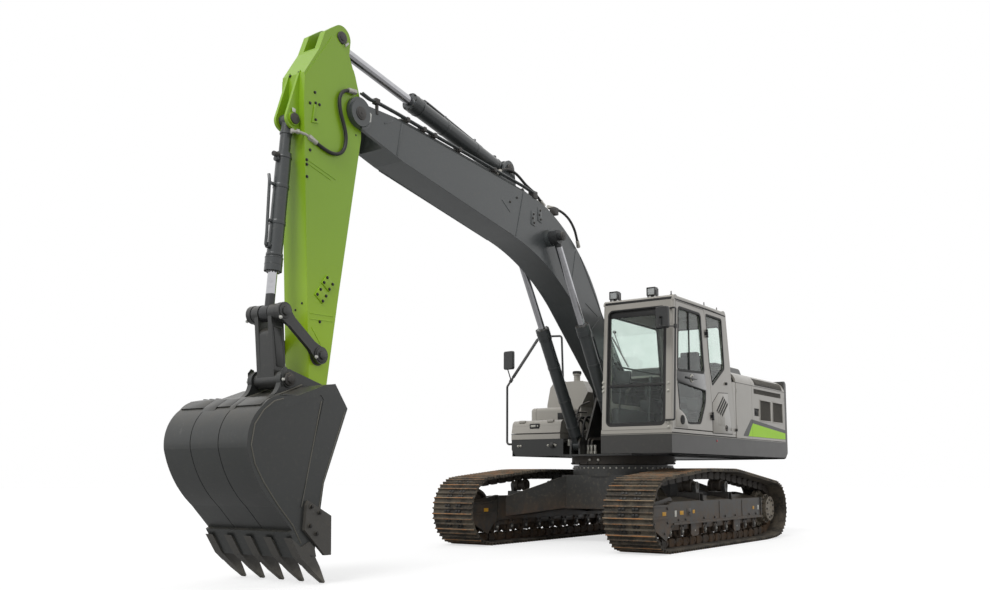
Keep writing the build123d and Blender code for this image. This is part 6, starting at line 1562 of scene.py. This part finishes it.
# ---------------------------------------------------------------- bucket linkage
# Forged side links and a fabricated bucket link, painted graphite grey. They turn on hardened pins with
# bolted heads and grease nipples.
link_paint = painted("link_paint", tone(44, 45, 44), roughness=0.42, dust=0.2)
link_paint.on("side_links", "bucket_link")
grease, link_heads = [], []
for side in (1, -1):
    for (x, z), y, (dx, dz) in (((5.71, 1.86), 0.192, (0.066, -0.02)),
            ((6.13, 2.18), 0.196, (0.052, -0.056))):
        grease.append(stand((x + dx, side * (y + 0.002), z + dz), (0, side, 0)))
        link_heads.append(disc(x, z, side * (y - 0.001), side * (y + 0.008), 0.062, 36, 0.003))
        link_heads.append(rounded(disc(x, z, side * (y + 0.007), side * (y + 0.026), 0.04, 6), 0.003,
            angle=30))
bolts("link_grease_nipples", "side_links", white_mark, "pin_steel", 0.011, grease, 0.016)
settle(link_heads, "link_pin_heads", "side_links", link_paint, "boom_paint")
stiff = []
for side in (1, -1):
    y = side * 0.102
    stiff.append(cut_plate(((6.165, 2.055), (6.08, 2.05), (6.05, 1.73), (6.12, 1.735)), y - side * 0.001,
        y + side * 0.006, 0.003))
    stiff.append(weld([(6.172, y + side * 0.001, 2.06), (6.076, y + side * 0.001, 2.056),
        (6.044, y + side * 0.001, 1.726)], 0.005))
settle(stiff, "bucket_link_pads", "bucket_link", link_paint, "boom_paint")

# ---------------------------------------------------------------- bucket
# Plate and cast steel, painted near black and scuffed by soil. Wear strips and welds stand proud of the
# shell, the cutters are bolted on and the teeth are pinned to their adapters.
bucket_paint = painted("bucket_paint", tone(46, 48, 47), roughness=0.4, dust=0.14, soil=0.0, coat=0.15)
x, y, z = bucket_paint.axes()
shade = bucket_paint.shade()
scuffs = bucket_paint.noise(3.2, 7, stretch=(1, 2.2, 1), roughness=0.68).band(0.52, 0.72)
fine = bucket_paint.noise(38, 6).band(0.5, 0.75)
bucket_paint.set("Base Color", bucket_paint.mix(scuffs * fine * 0.45, shade, tone(112, 112, 108)))
bucket_paint.on("bucket")
tooth_steel = painted("tooth_steel", tone(72, 70, 66), roughness=0.5, dust=0.25, coat=0.0)
x, y, z = tooth_steel.axes()
shade = tooth_steel.shade()
worn_tip = (z + (tooth_steel.noise(30, 6) - 0.5) * 0.1).band(0.16, 0.05)
tooth_steel.set("Base Color", tooth_steel.mix(worn_tip * 0.75, shade, tone(128, 124, 116)))
tooth_steel.set("Metallic", worn_tip * 0.4)
tooth_steel.raise_by(tooth_steel.noise(90, 5), 0.0015)
tooth_steel.on("bucket_teeth", "side_cutters")
BUCKET_HALF = 0.494
bucket_parts, bucket_seams = [], []
for side in (1, -1):
    y = side * (BUCKET_HALF + 0.0006)
    shell = [(6.175, 0.33), (6.262, 0.47), (6.42, 0.632), (6.56, 0.8), (6.648, 0.935), (6.69, 1.075),
        (6.662, 1.23), (6.58, 1.34), (6.48, 1.412), (6.39, 1.436)]
    bucket_seams.append(weld([(px, y, pz) for px, pz in shell], 0.0055))
    bucket_seams.append(weld([(6.0, y, 0.56), (5.955, y, 0.8), (5.73, y, 1.37)], 0.005))
    inner = [(6.175, 0.61), (5.99, 1.44)]
    bucket_seams.append(weld([(px, side * (BUCKET_HALF - 0.0025), pz) for px, pz in inner], 0.0045))
    ear = side * 0.147
    bucket_seams.append(weld([(5.93, ear, 1.592), (6.1, ear, 1.52), (6.235, ear, 1.474)], 0.008))
    bucket_seams.append(weld([(5.93, side * 0.198, 1.592), (6.1, side * 0.198, 1.524),
        (6.235, side * 0.198, 1.476)], 0.008))
    bucket_parts.append(cut_plate(((6.145, 1.56), (6.105, 1.58), (6.095, 1.72), (6.128, 1.73),
        (6.16, 1.69)), side * 0.1965, side * 0.2035, 0.003))
# wear plates laid across the top of the back, between the ears
for y0, y1, reach in ((-0.47, -0.186, 0), (-0.182, -0.03, 1), (-0.026, 0.13, 0), (0.134, 0.2, 1),
        (0.204, 0.47, 0)):
    across_back = [(6.405, 1.4555), (6.5, 1.437), (6.59, 1.3735)] + ([(6.64, 1.3), (6.648, 1.3045)] if reach
        else [])
    bucket_parts.append(cut_plate(across_back + [(6.597, 1.38), (6.504, 1.4445), (6.406, 1.4635)], y0, y1,
        0.002))
for y in (-0.478, -0.4, -0.322, 0.322, 0.4, 0.478):
    bucket_parts.append(slab_of((6.262, 6.372), about(y, 0.012), (1.458, 1.4745), 0.004))
settle(bucket_parts, "bucket_wear_plates", "bucket", bucket_paint, "bucket_paint")
weld_bare = painted("weld_bare", tone(96, 94, 86), roughness=0.5, dust=0.2, coat=0.0)
settle(bucket_seams, "bucket_welds", "bucket", weld_bare, "bucket_paint")
bucket_studs = [stand((x, side * (BUCKET_HALF + 0.041), z), (0, side, 0)) for side in (1, -1)
    for x, z in ((6.108, 0.608), (6.02, 0.56), (6.118, 0.462), (6.048, 0.398))]
bolts("cutter_bolts", "bucket", bolt_black, "pin_steel", 0.0125, bucket_studs)
slots = []
for side in (1, -1):
    for run in (((6.093, 0.502), (6.085, 0.486), (5.971, 0.416), (5.979, 0.432)),
            ((5.99, 0.31), (5.984, 0.298), (5.925, 0.29), (5.922, 0.302))):
        slots.append(cut_plate(run, side * (BUCKET_HALF + 0.0245), side * (BUCKET_HALF + 0.029), 0.001))
settle(slots, "cutter_ribs", "bucket", weld_bare, "tooth_steel")
pin_heads = []
for side in (1, -1):
    for (x, z), y in (((6.08, 1.625), 0.211), ((5.695, 1.5), 0.211)):
        pin_heads.append(rounded(disc(x, z, side * (y - 0.001), side * (y + 0.016), 0.058, 8), 0.004,
            angle=30))
        pin_heads.append(rounded(disc(x, z, side * (y + 0.014), side * (y + 0.03), 0.036, 6), 0.003,
            angle=30))
settle(pin_heads, "bucket_pin_heads", "bucket", steel_dark, "pin_steel")
bolts("bucket_grease_nipples", "bucket", white_mark, "pin_steel", 0.011,
    [stand((x + 0.062, side * 0.206, z), (0, side, 0)) for side in (1, -1)
    for x, z in ((6.08, 1.62), (5.695, 1.5))], 0.016)
tooth_pins = []
for i in range(5):
    y = (BUCKET_HALF - 0.031) * (2 * i / 4 - 1)
    for side in (1, -1):
        tooth_pins.append(stand((6.068, y + side * 0.0425, 0.232), (0, side, 0)))
retainer = post(0, 0, -0.004, 0.004, 0.013, 16, 0.002)
settle(copied(retainer, tooth_pins), "tooth_retainers", "bucket", steel_dark, "tooth_steel")


# ---------------------------------------------------------------- studio
# A pale floor, a white surround, one broad lamp high on the left, and a camera low in front of the left
# track. The surround is plain white where it is seen, straight or in metal and glass, and dimmer as light.
bpy.ops.mesh.primitive_circle_add(vertices=96, radius=60, fill_type="NGON", location=(0, 0, 0))
floor = bpy.context.object
floor.name = "floor"
pale = Finish("floor_white", (0.42, 0.42, 0.42), 0.9, **{"Emission Strength": 0.62})
seen_white = pale.node("ShaderNodeLightPath", {}, {}, "Is Camera Ray")
pale.set("Emission Color", pale.mix(seen_white, (0, 0, 0), (1, 1, 1)))
floor.data.materials.append(pale.material)
floor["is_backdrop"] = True

world = bpy.data.worlds.new("studio")
world.use_nodes = True
surround = world.node_tree
background = surround.nodes["Background"]
background.inputs["Color"].default_value = (1, 1, 1, 1)
AMBIENT = 0.62
rays = surround.nodes.new("ShaderNodeLightPath")
seen = rays.outputs["Is Camera Ray"]
for kind in ("Is Transmission Ray", "Is Glossy Ray"):
    either = surround.nodes.new("ShaderNodeMath")
    either.operation = "MAXIMUM"
    surround.links.new(seen, either.inputs[0])
    surround.links.new(rays.outputs[kind], either.inputs[1])
    seen = either.outputs[0]
level = surround.nodes.new("ShaderNodeMapRange")
level.inputs["To Min"].default_value = AMBIENT
level.inputs["To Max"].default_value = 1.0
surround.links.new(seen, level.inputs["Value"])
surround.links.new(level.outputs[0], background.inputs["Strength"])
bpy.context.scene.world = world

KEY_LIGHT, KEY_TURN = 1.5, (radians(42), 0, radians(98))
sun = bpy.data.objects.new("key_light", bpy.data.lights.new("key_light", "SUN"))
sun.data.energy = KEY_LIGHT
sun.data.angle = radians(28)
sun.rotation_euler = KEY_TURN
bpy.context.scene.collection.objects.link(sun)

CAMERA_PLACE = (11.5, 6.157, 0.846)
CAMERA_HEADING, CAMERA_RISE = 3.7385, 0.1158     # radians
CAMERA_LENS, SENSOR = 35.26, 36                  # millimetres
CAMERA_SHIFT = (-0.0253, 0.0689)
camera = bpy.data.objects.new("camera", bpy.data.cameras.new("camera"))
camera.location = CAMERA_PLACE
aim = Vector((cos(CAMERA_HEADING) * cos(CAMERA_RISE), sin(CAMERA_HEADING) * cos(CAMERA_RISE),
    sin(CAMERA_RISE)))
camera.rotation_euler = aim.to_track_quat("-Z", "Y").to_euler()
camera.data.lens, camera.data.sensor_width = CAMERA_LENS, SENSOR
camera.data.shift_x, camera.data.shift_y = CAMERA_SHIFT
camera.data.clip_end = 300
bpy.context.scene.collection.objects.link(camera)
bpy.context.scene.camera = camera
bpy.context.scene.view_settings.view_transform = "Standard"

[[list(corner) for corner in box] for box in (cad_box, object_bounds())]
